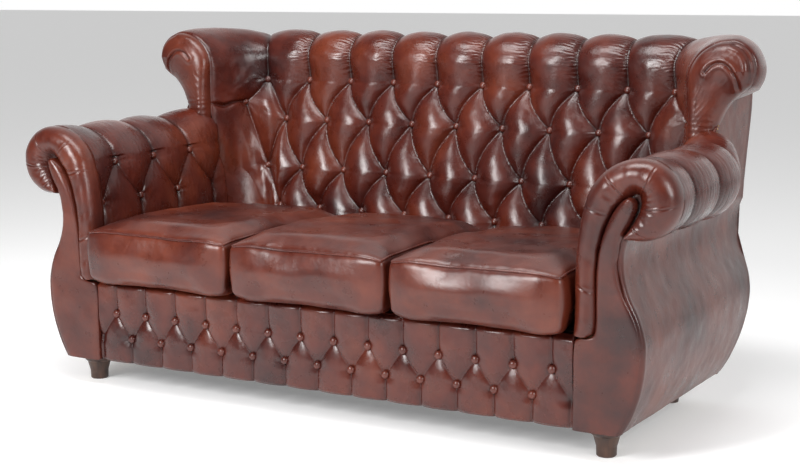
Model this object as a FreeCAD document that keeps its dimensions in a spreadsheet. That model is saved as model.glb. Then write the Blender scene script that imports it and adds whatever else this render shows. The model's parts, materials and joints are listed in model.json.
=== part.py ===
import FreeCAD, Part
import Sketcher
import math
import os
import re

# Chesterfield sofa with three loose seat cushions and a high, deep-buttoned back with wings.
# Millimetres. +Z is up, the front faces -Y and the sofa is mirrored about the plane X = 0.
# The origin is on the floor, under the middle of the whole sofa.

# Driving dimensions. Each is set by itself; what follows from them is worked out below.
SIZES = {
    # Seat and base
    "seat_half": 758.5,  # middle of the sofa to the inner face of an arm
    "foot_height": 75,
    "seat_height": 315,  # floor to the underside of the loose cushions
    "rail_thick": 28,
    "rail_height": 160,
    "cloth_thick": 1,  # dust cover and hessian
    "webbing_width": 50,
    "webbing_thick": 2,
    "button_radius": 11,
    "button_height": 13,
    "button_lift": 0.9,  # a button's narrow end stands this far off the leather
    "corner_lift": 2.2,  # the same in the bent corners, where the leather closes in from the sides
    "clearance": 0.3,
    # Front border
    "border_thick": 45,
    "border_margin": 61.7,  # inner face of an arm to the first button
    "border_row_high": 218.7,
    "border_row_low": 147.4,
    "border_tuft": 20,
    # Cushions
    "cushion_nose": 80,  # how far a cushion stands ahead of the arm facings
    "cushion_depth": 784,
    "cushion_edge": 153,  # height of the boxed edge
    "cushion_crown": 35,  # rise of the top above its edge
    "cushion_draw": 14,  # how far the corners are drawn in
    "cushion_rounding": 12,  # how far the front and rear of a cushion bulge
    "cover_thick": 2.5,
    # Back
    "button_reach": 842,  # arm facing to the top row of back buttons
    "roll_reach": 158,  # top row of buttons to the rearmost crown
    "back_top": 1015,
    "outer_flute": 224.5,  # width of the plain flute at each end of the back
    "row_one_drop": 161,  # top of the back down to the first row of buttons
    "row_two_drop": 126,
    "row_three_drop": 154,
    "row_four_drop": 125,
    "back_tuft": 38,
    "back_rake": 0.183,  # how far the back leans for each unit of height
    "back_pad": 25,  # stuffing behind the buttons
    "roll_radius": 100,
    "roll_groove": 22,
    "post_width": 60,
    "post_gap": 3,  # between a post and the outside back
    "post_foot_up": 27,  # a post ends above the base and is cut off slanting there
    "post_foot_in": 11,
    # Corner and wing
    "corner_radius": 200,
    "corner_inset": 138.5,  # inner face of an arm to where the back starts to turn forward
    "corner_crease": 55,  # rise of the second row where it meets the wing
    "wing_roll_out": 100,
    "wing_roll_radius": 92,
    "wing_rise": 10,  # how far the wings rise above the back
    "wing_front_thick": 30,
    "wing_shoulder_drop": 40,  # middle of the wing roll down to where its inner edge turns upright
    # Wood in the back
    "top_rail_thick": 25,
    "top_rail_height": 70,
    "rail_room": 3,  # behind a bent rail, whose arc lies outside the straight runs of the stuffing
    "top_rail_drop": 15,  # underside of the roll down to the underside of the top rail
    # Arms
    "scroll_out": 166.5,  # inner face of the arm to the middle of the scroll
    "scroll_height": 658,
    "scroll_radius": 99,
    "roll_narrow_length": 205,  # rear stretch over which the arm roll narrows towards the wing
    "roll_narrow_in": 55,
    "roll_narrow_rise": 33,
    "roll_narrow_radius": 40,
    "shoulder_out": 28.5,  # where the inner face turns into the roll
    "shoulder_rise": 6,  # middle of the scroll up to the shoulder
    "neck_drop": 188,  # middle of the scroll down to where the inner face is upright
    "arm_tuft": 22,
    "arm_pad": 25,
    "arm_pitch": 180,
    "arm_first_button": 150,  # arm facing to the first button of the upper row
    "arm_end_room": 30,  # the last arm button keeps this far off the wing
    "arm_row_drop": 12,  # middle of the scroll down to the upper row of buttons
    "arm_row_step": 111,
    "arm_rail_drop": 83,  # middle of the scroll down to the underside of the arm rail
    "arm_rail_height": 45,
    # Arm facings
    "facing_thick": 20,
    "facing_board": 25,
    "facing_roll_proud": 12,
    "facing_roll_width": 60,
    "facing_roll_foot": 311,
    "foot_width": 118.5,  # width of the facing at its foot
    "bulge_width": 178.5,
    "bulge_height": 280,
    "waist_width": 115.5,
    "waist_drop": 51,  # underside of the scroll down to the waist
    "panel_tip_rise": 2,  # middle of the scroll up to the panel's tip
    "tip_out": 11,  # waist to the underside of the scroll, sideways
    # Outside panels
    "panel_thick": 8,
    "panel_gap": 3,  # an outside panel ends this far below the roll above it
    "rear_foot": 719,  # arm facing to the rear of the base, at the floor end
    # Feet
    "front_foot_out": 63.5,  # inner face of an arm to the middle of a front foot
    "front_foot_in": 72,
    "rear_foot_out": 11.5,
    "rear_foot_in": 640,
    "foot_radius": 37,
    "bolt_radius": 4,
    "bolt_in_foot": 50,
    "bolt_in_block": 70,
    "block_length": 75,
    "block_depth": 90,
}

# Worked out from the sizes above, as formulas of the same sheet.
WORKED_OUT = {
    "facing_y": "cushion_nose - (cushion_nose + button_reach + roll_reach) / 2",
    "back_y": "facing_y + button_reach",
    "corner_start": "seat_half - corner_inset",
    "back_pitch": "(corner_start + corner_radius * pi / 2 - outer_flute) / 4.5",
    "back_row_one": "back_top - row_one_drop",
    "back_row_two": "back_row_one - row_two_drop",
    "back_row_three": "back_row_two - row_three_drop",
    "back_row_four": "back_row_three - row_four_drop",
    "border_pitch": "(seat_half - border_margin) / 6.5",
    "wing_top": "back_top + wing_rise",
    "top_rail_bottom": "back_top - roll_radius * 2 - top_rail_drop",
    "front_foot_x": "seat_half + front_foot_out",
    "front_foot_y": "facing_y + front_foot_in",
    "rear_foot_x": "seat_half + rear_foot_out",
    "rear_foot_y": "facing_y + rear_foot_in",
    "shoulder_height": "scroll_height + shoulder_rise",
    "neck_height": "scroll_height - neck_drop",
    "arm_row_high": "scroll_height - arm_row_drop",
    "arm_row_low": "arm_row_high - arm_row_step",
    "arm_rail_bottom": "scroll_height - arm_rail_drop",
    "waist_height": "scroll_height - scroll_radius - waist_drop",
    "panel_tip_height": "scroll_height + panel_tip_rise",
    "frame_z": "foot_height + cloth_thick",
    "rail_top": "frame_z + rail_height",
    "deck_z": "rail_top + webbing_thick * 2 + cloth_thick",
    "deck_top": "seat_height - clearance",
    "pad_bottom": "seat_height + 1",
    "board_y": "facing_y + facing_thick",
    "frame_y": "board_y + facing_board",
    "side_rail_x": "seat_half + foot_width - rail_thick - 4",
    "rear_rail_y": "facing_y + rear_foot - panel_thick - rail_thick - 3",
    "wing_y": "back_y - corner_radius",
    "rail_gap": "back_pad + 3.5",
    "top_rail_top": "top_rail_bottom + top_rail_height",
    "wing_rail_x": "corner_start + corner_radius + rail_gap",
    "arm_inner_x": "seat_half + arm_tuft + arm_pad",
    "arm_rail_top": "arm_rail_bottom + arm_rail_height",
    "cushion_pitch": "(seat_half - 1) * 2 / 3",
}

doc = FreeCAD.newDocument("chesterfield_sofa")
sheet = doc.addObject("Spreadsheet::Sheet", "sizes")
rows = [(name, str(value)) for name, value in SIZES.items()]
rows += [(name, "=" + formula) for name, formula in WORKED_OUT.items()]
for number, (name, content) in enumerate(rows, start=1):
    sheet.set("A%d" % number, name)
    sheet.set("B%d" % number, content)
    sheet.setAlias("B%d" % number, name)
doc.recompute()


def size(name):
    return float(sheet.get(name))


clear = size("clearance")


def bound(formula):
    """A formula of sheet words, written so that an object's property can be bound to it."""
    return re.sub(r"[a-z][a-z_]+", lambda word: "sizes." + word.group(0), formula)


def place(item, x, y, z):
    for axis, formula in (("x", x), ("y", y), ("z", z)):
        item.setExpression("Placement.Base." + axis, bound(formula))


# Ways of making a piece. Formulas are strings of sheet words.

nodes = []


def keep(item, label):
    item.Label = label
    nodes.append(item)
    return item


def origin_plane(body, role):
    return [plane for plane in body.Origin.OriginFeatures if plane.Role == role][0]


def new_sketch(body, role, name):
    sketch = body.newObject("Sketcher::SketchObject", name)
    sketch.AttachmentSupport = [(origin_plane(body, role), "")]
    sketch.MapMode = "FlatFace"
    return sketch


def rectangle(sketch, length, depth):
    """Draw a rectangle from the sketch's origin, its two sides bound to formulas."""
    corners = [(0, 0), (100, 0), (100, 50), (0, 50)]
    points = [FreeCAD.Vector(x, y, 0) for x, y in corners]
    for start, end in zip(points, points[1:] + points[:1]):
        sketch.addGeometry(Part.LineSegment(start, end))
    for side in range(4):
        sketch.addConstraint(Sketcher.Constraint("Coincident", side, 2, (side + 1) % 4, 1))
    for kind, side in (("Horizontal", 0), ("Vertical", 1), ("Horizontal", 2), ("Vertical", 3)):
        sketch.addConstraint(Sketcher.Constraint(kind, side))
    sketch.addConstraint(Sketcher.Constraint("Coincident", 0, 1, -1, 1))
    for kind, side, formula in (("DistanceX", 0, length), ("DistanceY", 1, depth)):
        number = sketch.addConstraint(Sketcher.Constraint(kind, side, 1, side, 2, 60.0))
        sketch.setExpression("Constraints[%d]" % number, bound(formula))


def board(name, length, depth, height, x, y, z):
    """A sawn board whose lowest corner is at x, y, z."""
    body = doc.addObject("PartDesign::Body", name)
    sketch = new_sketch(body, "XY_Plane", name + "_outline")
    rectangle(sketch, length, depth)
    pad = body.newObject("PartDesign::Pad", name + "_pad")
    pad.Profile = sketch
    pad.setExpression("Length", bound(height))
    place(body, x, y, z)
    return body


def profile_body(name, role, edges, length, x="0", y="0", z="0"):
    """A piece cut to an outline of lines and arcs and as thick as the formula length.

    An outline in the XZ plane is thickened towards +Y, one in the YZ plane towards +X.
    """
    body = doc.addObject("PartDesign::Body", name)
    sketch = new_sketch(body, role, name + "_outline")
    sketch.addGeometry(edges)
    pad = body.newObject("PartDesign::Pad", name + "_pad")
    pad.Profile = sketch
    pad.Reversed = role == "XZ_Plane"
    pad.setExpression("Length", bound(length))
    place(body, x, y, z)
    return body


def turned(name, edges, angle=360):
    """A piece turned about its own upright axis from an outline in its XZ plane."""
    body = doc.addObject("PartDesign::Body", name)
    sketch = new_sketch(body, "XZ_Plane", name + "_outline")
    sketch.addGeometry(edges)
    revolution = body.newObject("PartDesign::Revolution", name + "_turn")
    revolution.Profile = sketch
    revolution.ReferenceAxis = (sketch, ["V_Axis"])
    revolution.Angle = angle
    return body


def rod(name, radius, height, x, y, z):
    cylinder = doc.addObject("Part::Cylinder", name)
    cylinder.setExpression("Radius", bound(radius))
    cylinder.setExpression("Height", bound(height))
    place(cylinder, x, y, z)
    return cylinder


def strip(name, length, width, height, x, y, z):
    box = doc.addObject("Part::Box", name)
    for side, formula in (("Length", length), ("Width", width), ("Height", height)):
        box.setExpression(side, bound(formula))
    place(box, x, y, z)
    return box


def group(label, pieces):
    compound = doc.addObject("Part::Compound", label)
    compound.Links = pieces
    return keep(compound, label)


def cut(name, base, tool):
    result = doc.addObject("Part::Cut", name)
    result.Base = base
    result.Tool = tool
    return result


def mirrored(source, name):
    """The same piece on the other side of the sofa."""
    mirror = doc.addObject("Part::Mirroring", name)
    mirror.Source = source
    mirror.Normal = FreeCAD.Vector(1, 0, 0)
    return mirror


def both_sides(source, label):
    """Keep a piece made for the +X side and its mirror image."""
    keep(source, label + "_right")
    keep(mirrored(source, label + "_left"), label + "_left")


def formed(name, shape):
    """A soft or bent form whose shape is worked out from the sheet."""
    feature = doc.addObject("Part::Feature", name)
    feature.Shape = shape
    feature.Placement = FreeCAD.Placement()
    return feature


def line(start, end):
    return Part.LineSegment(start, end)


def arc(start, through, end):
    return Part.Arc(start, through, end)


def flat(a, b):
    """A point of a sketch."""
    return FreeCAD.Vector(a, b, 0)


def polygon(points):
    """Closed run of straight sketch lines through the points."""
    return [line(start, end) for start, end in zip(points, points[1:] + points[:1])]


# Upholstery forms. Buttons stand in columns; every second row is half a pitch aside.
# A valley runs from each button down to its two neighbours of the next row, so a section
# across the rows has one point on each valley and three over each diamond between valleys.

DIAMOND = ((0.22, 0.8), (0.5, 1.0), (0.78, 0.8))  # share of the way down, share of the height
DIMPLE = 7.0  # half height of the flat under a button


def between_columns(distance, pitch):
    """0 on a column of the odd rows, 1 on a column of the even rows."""
    share = (distance / pitch - 0.5) % 1.0
    return 2 * min(share, 1 - share)


def crown_share(share):
    """Height of a rounded flute at a share of the way from its groove to its middle."""
    return math.sin(math.pi / 2 * share) ** 0.7


def valley_height(upper, lower, share):
    """Height of the valley that drops from a button of one row to the next row."""
    height = upper - (upper - lower) * share
    return min(max(height, lower + DIMPLE), upper - DIMPLE)


def skin(sections):
    """Solid over neighbouring outlines: each quarter between them is two flat triangles."""
    corners = []
    for near, far in zip(sections, sections[1:]):
        for first in range(len(near)):
            second = (first + 1) % len(near)
            a, b, c, d = near[first], near[second], far[second], far[first]
            if a.distanceToPoint(c) < b.distanceToPoint(d):
                corners += [[a, b, c], [a, c, d]]
            else:
                corners += [[a, b, d], [b, c, d]]
    corners += [sections[0], sections[-1]]
    faces = [Part.Face(Part.makePolygon(points + points[:1])) for points in corners]
    shell = Part.makeShell(faces)
    shell.sewShape()
    solid = Part.makeSolid(shell)
    if solid.Volume < 0:
        solid.reverse()
    return solid


def steps(start, end, pitch, parts=4):
    """Distances along a tufted piece: its ends and each quarter of a pitch between them."""
    step = pitch / parts
    first = math.floor(start / step) + 1
    last = math.ceil(end / step) - 1
    inner = [step * number for number in range(first, last + 1)]
    inner = [value for value in inner if value - start > step / 4 and end - value > step / 4]
    return [start] + inner + [end]


# Inside back and wings

RAKE_FADE = 1.6  # the lean has faded out when the plan has turned by a quarter turn over this


def rake_at(turn):
    """How far the back leans for each unit of height where its plan line has turned that far."""
    return size("back_rake") * math.cos(min(RAKE_FADE * turn, math.pi / 2)) ** 2


def back_section(distance):
    """Outline of the back at a distance along its plan line, as (out, up) pairs.

    Out is measured from the top row of buttons towards the rear, or in the wing outwards.
    """
    pitch = size("back_pitch")
    turn = max(0.0, distance - size("corner_start")) / size("corner_radius")
    corner = turn / (math.pi / 2)
    tufted = min(distance, 5 * pitch)
    share = between_columns(tufted, pitch)
    odd = crown_share(share)
    even = crown_share(1 - share)
    rake = rake_at(turn)
    top_row = size("back_row_one")
    crease = min(max(tufted / pitch - 4, 0), 1) * size("corner_crease")
    row_two = size("back_row_two") + crease
    row_three = size("back_row_three")
    row_four = size("back_row_four")
    tuft = size("back_tuft") * (1 - 0.2 * corner)

    roll_out = size("roll_reach") - size("roll_radius")
    roll_out += corner * (size("wing_roll_out") - roll_out)
    crown_radius = size("roll_radius") + corner * (size("wing_roll_radius") - size("roll_radius"))
    top = size("back_top") + corner * (size("wing_top") - size("back_top"))
    roll_up = top - crown_radius
    radius = crown_radius - size("roll_groove") * (1 - odd)

    def plane(height):
        return rake * (height - top_row)

    points = []
    for angle in (-70, -35, 0, 30, 60, 90, 120, 150, 180, 205):
        turned_by = math.radians(angle)
        points.append((roll_out + radius * math.cos(turned_by), roll_up + radius * math.sin(turned_by)))
    roll_end = points[-1][1]
    valleys = [
        valley_height(top_row, row_two, share),
        valley_height(row_two, row_three, 1 - share),
        valley_height(row_three, row_four, share),
    ]
    for down, rise in ((0.45, 1.0), (0.8, 0.8)):
        height = roll_end + (valleys[0] - roll_end) * down
        points.append((plane(height) - tuft * odd * rise, height))
    for upper, lower, full in ((valleys[0], valleys[1], even), (valleys[1], valleys[2], odd)):
        points.append((plane(upper), upper))
        for down, rise in DIAMOND:
            height = upper + (lower - upper) * down
            points.append((plane(height) - tuft * full * rise, height))
    points.append((plane(valleys[2]), valleys[2]))
    bottom = size("pad_bottom")
    for down, rise in ((0.3, 0.85), (1.0, 0.8)):
        height = valleys[2] + (bottom - valleys[2]) * down
        points.append((plane(height) - tuft * even * rise, height))
    rail_top = size("top_rail_top") + 1
    rear = size("back_pad")
    behind_rail = size("rail_gap") + size("top_rail_thick") + (size("rail_room") if turn > 0 else clear)
    points.append((plane(bottom) + rear, bottom))
    points.append((plane(rail_top) + rear, rail_top))
    points.append((behind_rail, rail_top))
    points.append((behind_rail, points[0][1]))
    return points


def plan_point(distance, out, up):
    """Point of the back: a distance along its plan line, then out and up from it."""
    start = size("corner_start")
    radius = size("corner_radius")
    if abs(distance) <= start:
        return FreeCAD.Vector(distance, size("back_y") + out, up)
    side = math.copysign(1, distance)
    turn = (abs(distance) - start) / radius
    reach = radius + out
    x = side * (start + reach * math.sin(turn))
    return FreeCAD.Vector(x, size("wing_y") + reach * math.cos(turn), up)


def back_length():
    """Plan line from the middle of the back to the front end of a wing."""
    return size("corner_start") + size("corner_radius") * math.pi / 2


def back_form(start, end):
    """The part of the inside back and wing between two distances along the plan line."""
    stops = steps(start, min(end, 5 * size("back_pitch")), size("back_pitch"))
    if end > stops[-1]:
        rest = end - stops[-1]
        stops += [stops[-1] + rest * part / 3 for part in (1, 2, 3)]
    return skin([[plan_point(stop, out, up) for out, up in back_section(abs(stop))] for stop in stops])


seam = 3.5 * size("back_pitch")
keep(formed("back_pad", back_form(-seam, seam)), "back_pad")
wing_pad = formed("wing_pad_right", back_form(seam, back_length()))
both_sides(wing_pad, "wing_pad")


def wing_front_outline():
    """Outline of the gathered end of the wing roll, from the arm up and round the scroll."""
    inner = size("corner_start") + size("corner_radius") - size("back_tuft") * 0.6
    middle_x = size("corner_start") + size("corner_radius") + size("wing_roll_out")
    radius = size("wing_roll_radius")
    top = size("wing_top")
    middle_z = top - radius
    foot = size("scroll_height") + size("scroll_radius") - clear
    outer = size("seat_half") + size("waist_width") + 10
    shoulder = flat(inner, middle_z - size("wing_shoulder_drop"))
    lean = math.radians(135)
    rise = middle_x - inner
    through = flat(middle_x + rise * math.cos(lean), middle_z + radius * math.sin(lean))
    crown = flat(middle_x, top)
    right = flat(middle_x + radius, middle_z)
    upper = flat(middle_x + radius * math.cos(math.pi / 4), middle_z + radius * math.sin(math.pi / 4))
    below = math.radians(-115)
    end = flat(middle_x + radius * math.cos(below), middle_z + radius * math.sin(below))
    lower = flat(middle_x + radius * math.cos(math.radians(-60)), middle_z + radius * math.sin(math.radians(-60)))
    return [
        line(flat(inner, foot), shoulder),
        arc(shoulder, through, crown),
        arc(crown, upper, right),
        arc(right, lower, end),
        line(end, flat(outer, foot)),
        line(flat(outer, foot), flat(inner, foot)),
    ]


wing_front = profile_body(
    "wing_front_right", "XZ_Plane", wing_front_outline(), "wing_front_thick - clearance",
    y="wing_y - wing_front_thick",
)
both_sides(wing_front, "wing_front")


# Inside arms

def roll_shape(distance):
    """Middle, radius and top of the arm roll, which narrows where it meets the wing."""
    to_wing = size("wing_y") - size("facing_y") - distance
    narrow = max(0.0, 1 - to_wing / size("roll_narrow_length")) ** 2
    middle = size("seat_half") + size("scroll_out") - size("roll_narrow_in") * narrow
    radius = size("scroll_radius") - size("roll_narrow_radius") * narrow
    return middle, size("scroll_height") + size("roll_narrow_rise") * narrow, radius


def inner_face(height):
    """Crown line of the inner arm: upright, then curving out to the shoulder."""
    rise = size("shoulder_height") - size("neck_height")
    out = size("shoulder_out")
    radius = (rise ** 2 + out ** 2) / (2 * out)
    above = max(0.0, height - size("neck_height"))
    return size("seat_half") + radius - math.sqrt(radius ** 2 - above ** 2)


def arm_section(distance):
    """Outline across the right arm at a distance behind the facing, as (x, z) pairs."""
    share = between_columns(distance - size("arm_first_button"), size("arm_pitch"))
    share = 1 - share
    upper = crown_share(share)
    lower = crown_share(1 - share)
    tuft = size("arm_tuft")
    valley = valley_height(size("arm_row_high"), size("arm_row_low"), share)
    bottom = size("pad_bottom")
    points = []
    for down, rise in ((0.0, 0.9), (0.45, 1.0), (0.8, 0.85)):
        height = bottom + (valley - bottom) * down
        points.append((inner_face(height) + tuft * (1 - lower * rise), height))
    points.append((inner_face(valley) + tuft, valley))
    shoulder = size("shoulder_height")
    height = valley + (shoulder - valley) * 0.45
    points.append((inner_face(height) + tuft * (1 - upper * 0.9), height))

    middle, level, radius = roll_shape(distance)
    inset = tuft * 0.8 * (1 - upper)
    top = level + radius
    reach = middle - size("seat_half") - size("shoulder_out")
    rise = top - shoulder
    big = (reach ** 2 + rise ** 2) / (2 * rise)
    spread = math.degrees(math.asin(reach / big))
    if rise > big:
        spread = 180 - spread
    for part in (1.0, 0.75, 0.5, 0.25):
        angle = math.radians(90 + spread * part)
        points.append((middle + (big - inset) * math.cos(angle), top - big + (big - inset) * math.sin(angle)))
    for degrees in (90, 60, 30, 0, -30, -60, -90):
        angle = math.radians(degrees)
        points.append((middle + (radius - inset) * math.cos(angle), level + (radius - inset) * math.sin(angle)))
    outer = size("side_rail_x") + size("rail_thick") + 2
    inner = size("arm_inner_x")
    rail_top = size("arm_rail_top") + 1
    points.append((outer, points[-1][1]))
    points.append((outer, rail_top))
    points.append((inner, rail_top))
    points.append((inner, bottom))
    return points


def arm_form():
    start = size("frame_y") - size("facing_y") + clear
    end = size("wing_y") - size("facing_y") - clear
    first = size("arm_first_button")
    pitch = size("arm_pitch")
    stops = [first + stop for stop in steps(start - first, end - first, pitch)]
    sections = []
    for stop in stops:
        y = size("facing_y") + stop
        sections.append([FreeCAD.Vector(x, y, z) for x, z in arm_section(stop)])
    return skin(sections)


arm_pad = formed("arm_pad_right", arm_form())
both_sides(arm_pad, "arm_pad")


# Arm facings: a centre panel, and a padded roll that runs up the inner edge into the scroll.

def outer_edge(inset=0.0):
    """Sketch lines and arcs of the S-shaped outer edge, from the foot up to above the waist."""
    half = size("seat_half")
    foot = flat(half + size("foot_width") - inset, size("foot_height"))
    bulge = flat(half + size("bulge_width") - inset, size("bulge_height"))
    waist = flat(half + size("waist_width") - inset, size("waist_height"))
    turn = flat((bulge.x + waist.x) / 2, (bulge.y + waist.y) / 2)
    low = bulge_point(bulge, foot, 0.5)
    high = bulge_point(bulge, turn, 0.5)
    hollow = bulge_point(waist, turn, 0.5)
    return [arc(foot, low, bulge), arc(bulge, high, turn), arc(turn, hollow, waist)]


def bulge_point(level, end, share):
    """Point between two ends of an arc that is upright at its first end."""
    side = level.x - end.x
    rise = end.y - level.y
    radius = (side ** 2 + rise ** 2) / (2 * abs(side))
    height = rise * share
    out = math.copysign(radius - math.sqrt(radius ** 2 - height ** 2), side)
    return flat(level.x - out, level.y + height)


# Points of the centre panel's hooked tip: across from the middle of the scroll, up from the tip.
HOOK = {"inner": (-35, -3), "top": (-17, 0), "side": (-4, -12), "outer": (-8, -28), "throat": (-21, -53)}


def panel_outline():
    """Outline of the centre panel, whose hooked tip ends in the middle of the scroll."""
    half = size("seat_half")
    width = size("facing_roll_width")
    middle = half + size("scroll_out")
    tip = size("panel_tip_height")
    roll_foot = size("facing_roll_foot")
    edge = outer_edge()
    waist = edge[-1].EndPoint
    neck = flat(half + width, size("neck_height"))
    hook = {name: flat(middle + across, tip + up) for name, (across, up) in HOOK.items()}
    beside = bulge_point(waist, hook["throat"], 0.5)
    rounding = size("facing_roll_width") / 2
    end_high = flat(half + width, roll_foot + rounding)
    end_low = flat(half + width - rounding, roll_foot)
    corner = rounding * (1 - math.cos(math.pi / 4))
    end_mid = flat(half + width - corner, roll_foot + corner)
    return edge + [
        arc(waist, beside, hook["throat"]),
        line(hook["throat"], hook["outer"]),
        arc(hook["outer"], hook["side"], hook["top"]),
        line(hook["top"], hook["inner"]),
        arc(hook["inner"], bulge_point(neck, hook["inner"], 0.6), neck),
        line(neck, end_high),
        arc(end_high, end_mid, end_low),
        line(end_low, flat(half, roll_foot)),
        line(flat(half, roll_foot), flat(half, size("foot_height"))),
        line(flat(half, size("foot_height")), edge[0].StartPoint),
    ]


def lower_tip(waist):
    """Where the S-shaped edge meets the underside of the scroll."""
    return flat(waist.x + size("tip_out"), size("scroll_height") - size("scroll_radius"))


def scroll_outline(inset=0.0):
    """Outline of the whole arm end: the S-shaped outer edge and the scroll above it."""
    half = size("seat_half") + inset
    middle = size("seat_half") + size("scroll_out")
    level = size("scroll_height")
    radius = size("scroll_radius") - inset
    edge = outer_edge(inset)
    waist = edge[-1].EndPoint
    tip = lower_tip(waist)
    under = flat(middle, tip.y)
    neck = flat(half, size("neck_height"))
    shoulder = flat(half + size("shoulder_out"), size("shoulder_height"))
    crown = flat(middle, level + radius)
    side = flat(middle + radius, level)
    slant = radius * math.cos(math.pi / 4)
    reach = crown.x - shoulder.x
    rise = crown.y - shoulder.y
    big = (reach ** 2 + rise ** 2) / (2 * rise)
    half_angle = math.asin(reach / big) / 2
    over = flat(middle - big * math.sin(half_angle), crown.y - big + big * math.cos(half_angle))
    foot = flat(half, edge[0].StartPoint.y)
    return edge + [
        arc(waist, bulge_point(waist, tip, 0.5), tip),
        line(tip, under),
        arc(under, flat(middle + slant, level - slant), side),
        arc(side, flat(middle + slant, level + slant), crown),
        arc(crown, over, shoulder),
        arc(shoulder, bulge_point(neck, shoulder, 0.5), neck),
        line(neck, foot),
        line(foot, edge[0].StartPoint),
    ]


facing_panel = profile_body(
    "facing_panel_right", "XZ_Plane", panel_outline(), "facing_thick", y="facing_y",
)
both_sides(facing_panel, "facing_panel")

BOARD_INSET = 10.0
arm_board = profile_body(
    "arm_board_right", "XZ_Plane", scroll_outline(BOARD_INSET), "facing_board", y="board_y",
    z="cloth_thick",
)
both_sides(arm_board, "arm_board")


def upright_wire(outline, y):
    """Wire of an outline drawn in sketch coordinates, standing in the plane at y."""
    wire = Part.Wire(Part.__sortEdges__([curve.toShape() for curve in outline]))
    wire.Placement = FreeCAD.Placement(FreeCAD.Vector(0, y, 0), FreeCAD.Rotation(FreeCAD.Vector(1, 0, 0), 90))
    return wire


def slab(outline, start, end):
    """Solid between two Y planes over an outline drawn in sketch coordinates."""
    return Part.Face(upright_wire(outline, start)).extrude(FreeCAD.Vector(0, end - start, 0))


def facing_roll_form():
    """Scroll with a bevelled front edge, less the panel, the board behind it and what is below."""
    front = size("facing_y") - size("facing_roll_proud")
    back = size("frame_y")
    edge = size("facing_roll_proud") - 1
    bevel = [upright_wire(scroll_outline(edge), front), upright_wire(scroll_outline(), front + edge)]
    whole = Part.makeLoft(bevel, True, True).fuse(slab(scroll_outline(), front + edge, back))
    past = size("foot_height")
    panel = slab(panel_outline(), front - past, back + past)
    below = Part.makeBox(size("bulge_width") * 2, back - front + past * 2, size("facing_roll_foot"))
    below.translate(FreeCAD.Vector(size("seat_half") - past, front - past, 0))
    board = slab(scroll_outline(BOARD_INSET), size("board_y"), back + past)
    board.translate(FreeCAD.Vector(0, 0, size("cloth_thick")))
    return whole.cut([panel, below, board]).Solids[0]


facing_roll = formed("facing_roll_right", facing_roll_form())
both_sides(facing_roll, "facing_roll")


# Outside panels

# Outside back seen from the side: share of the way up to its top, and how far it leans back there.
REAR_LEAN = ((0.0, 0), (0.238, 71), (0.49, 141), (0.713, 166), (0.875, 196), (1.0, 224))


def rear_line(offset, top):
    """Side view of the outside back, from the base up to its top, moved forward by the offset."""
    base = size("rear_foot") + size("facing_y") - offset
    rise = top - size("foot_height")
    return [flat(base + lean, size("foot_height") + rise * share) for share, lean in REAR_LEAN]


def side_outline():
    """Outside arm and wing panel seen from the side."""
    front = size("facing_y")
    wing_top = size("wing_top") - 2 * size("wing_roll_radius") - size("panel_gap") - 1
    roll_under = size("scroll_height") - size("scroll_radius") - size("panel_gap")
    wing_front_y = size("wing_y") + clear
    points = [flat(front, size("foot_height"))] + rear_line(size("panel_thick") + clear, wing_top)
    points += [flat(wing_front_y, wing_top), flat(wing_front_y, roll_under), flat(front, roll_under)]
    return points


def side_skin(offset):
    """Front view of the outside of the arm and wing at an offset from the facing's edge."""
    edge = outer_edge(-offset)
    waist = edge[-1].EndPoint
    tip = lower_tip(waist)
    edge.append(arc(waist, bulge_point(waist, tip, 0.5), tip))
    return edge, flat(tip.x, size("wing_top"))


def side_panel_form():
    inner, inner_top = side_skin(clear)
    outer, outer_top = side_skin(clear + size("panel_thick"))
    profile = outer + [
        line(outer[-1].EndPoint, outer_top),
        line(outer_top, inner_top),
        line(inner_top, inner[-1].EndPoint),
    ]
    profile += inner + [line(inner[0].StartPoint, outer[0].StartPoint)]
    shell = slab(profile, size("facing_y"), size("back_y") + size("roll_reach"))
    points = side_outline()
    outline = [FreeCAD.Vector(0, point.x, point.y) for point in points]
    face = Part.Face(Part.makePolygon(outline + outline[:1]))
    return shell.common(face.extrude(FreeCAD.Vector(size("seat_half") * 2, 0, 0))).Solids[0]


outside_panel = formed("outside_panel_right", side_panel_form())
both_sides(outside_panel, "outside_panel")


def outside_back_top():
    return size("back_top") - 2 * size("roll_radius") - size("panel_gap")


def outside_back_form():
    top = outside_back_top()
    wide = size("seat_half") * 2
    profile = rear_line(0, top) + rear_line(size("panel_thick"), top)[::-1]
    points = [FreeCAD.Vector(-wide, point.x, point.y) for point in profile]
    shell = Part.Face(Part.makePolygon(points + points[:1])).extrude(FreeCAD.Vector(wide * 2, 0, 0))
    right, right_top = side_skin(clear + size("panel_thick"))
    base = right[0].StartPoint
    outline = right + [
        line(right[-1].EndPoint, right_top),
        line(right_top, flat(0, right_top.y)),
        line(flat(0, right_top.y), flat(0, base.y)),
        line(flat(0, base.y), base),
    ]
    half = slab(outline, size("facing_y"), size("back_y") + size("roll_reach") * 2)
    whole = half.fuse(half.mirror(FreeCAD.Vector(), FreeCAD.Vector(1, 0, 0))).removeSplitter()
    return shell.common(whole).Solids[0]


keep(formed("outside_back", outside_back_form()), "outside_back")


# Front border

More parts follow.
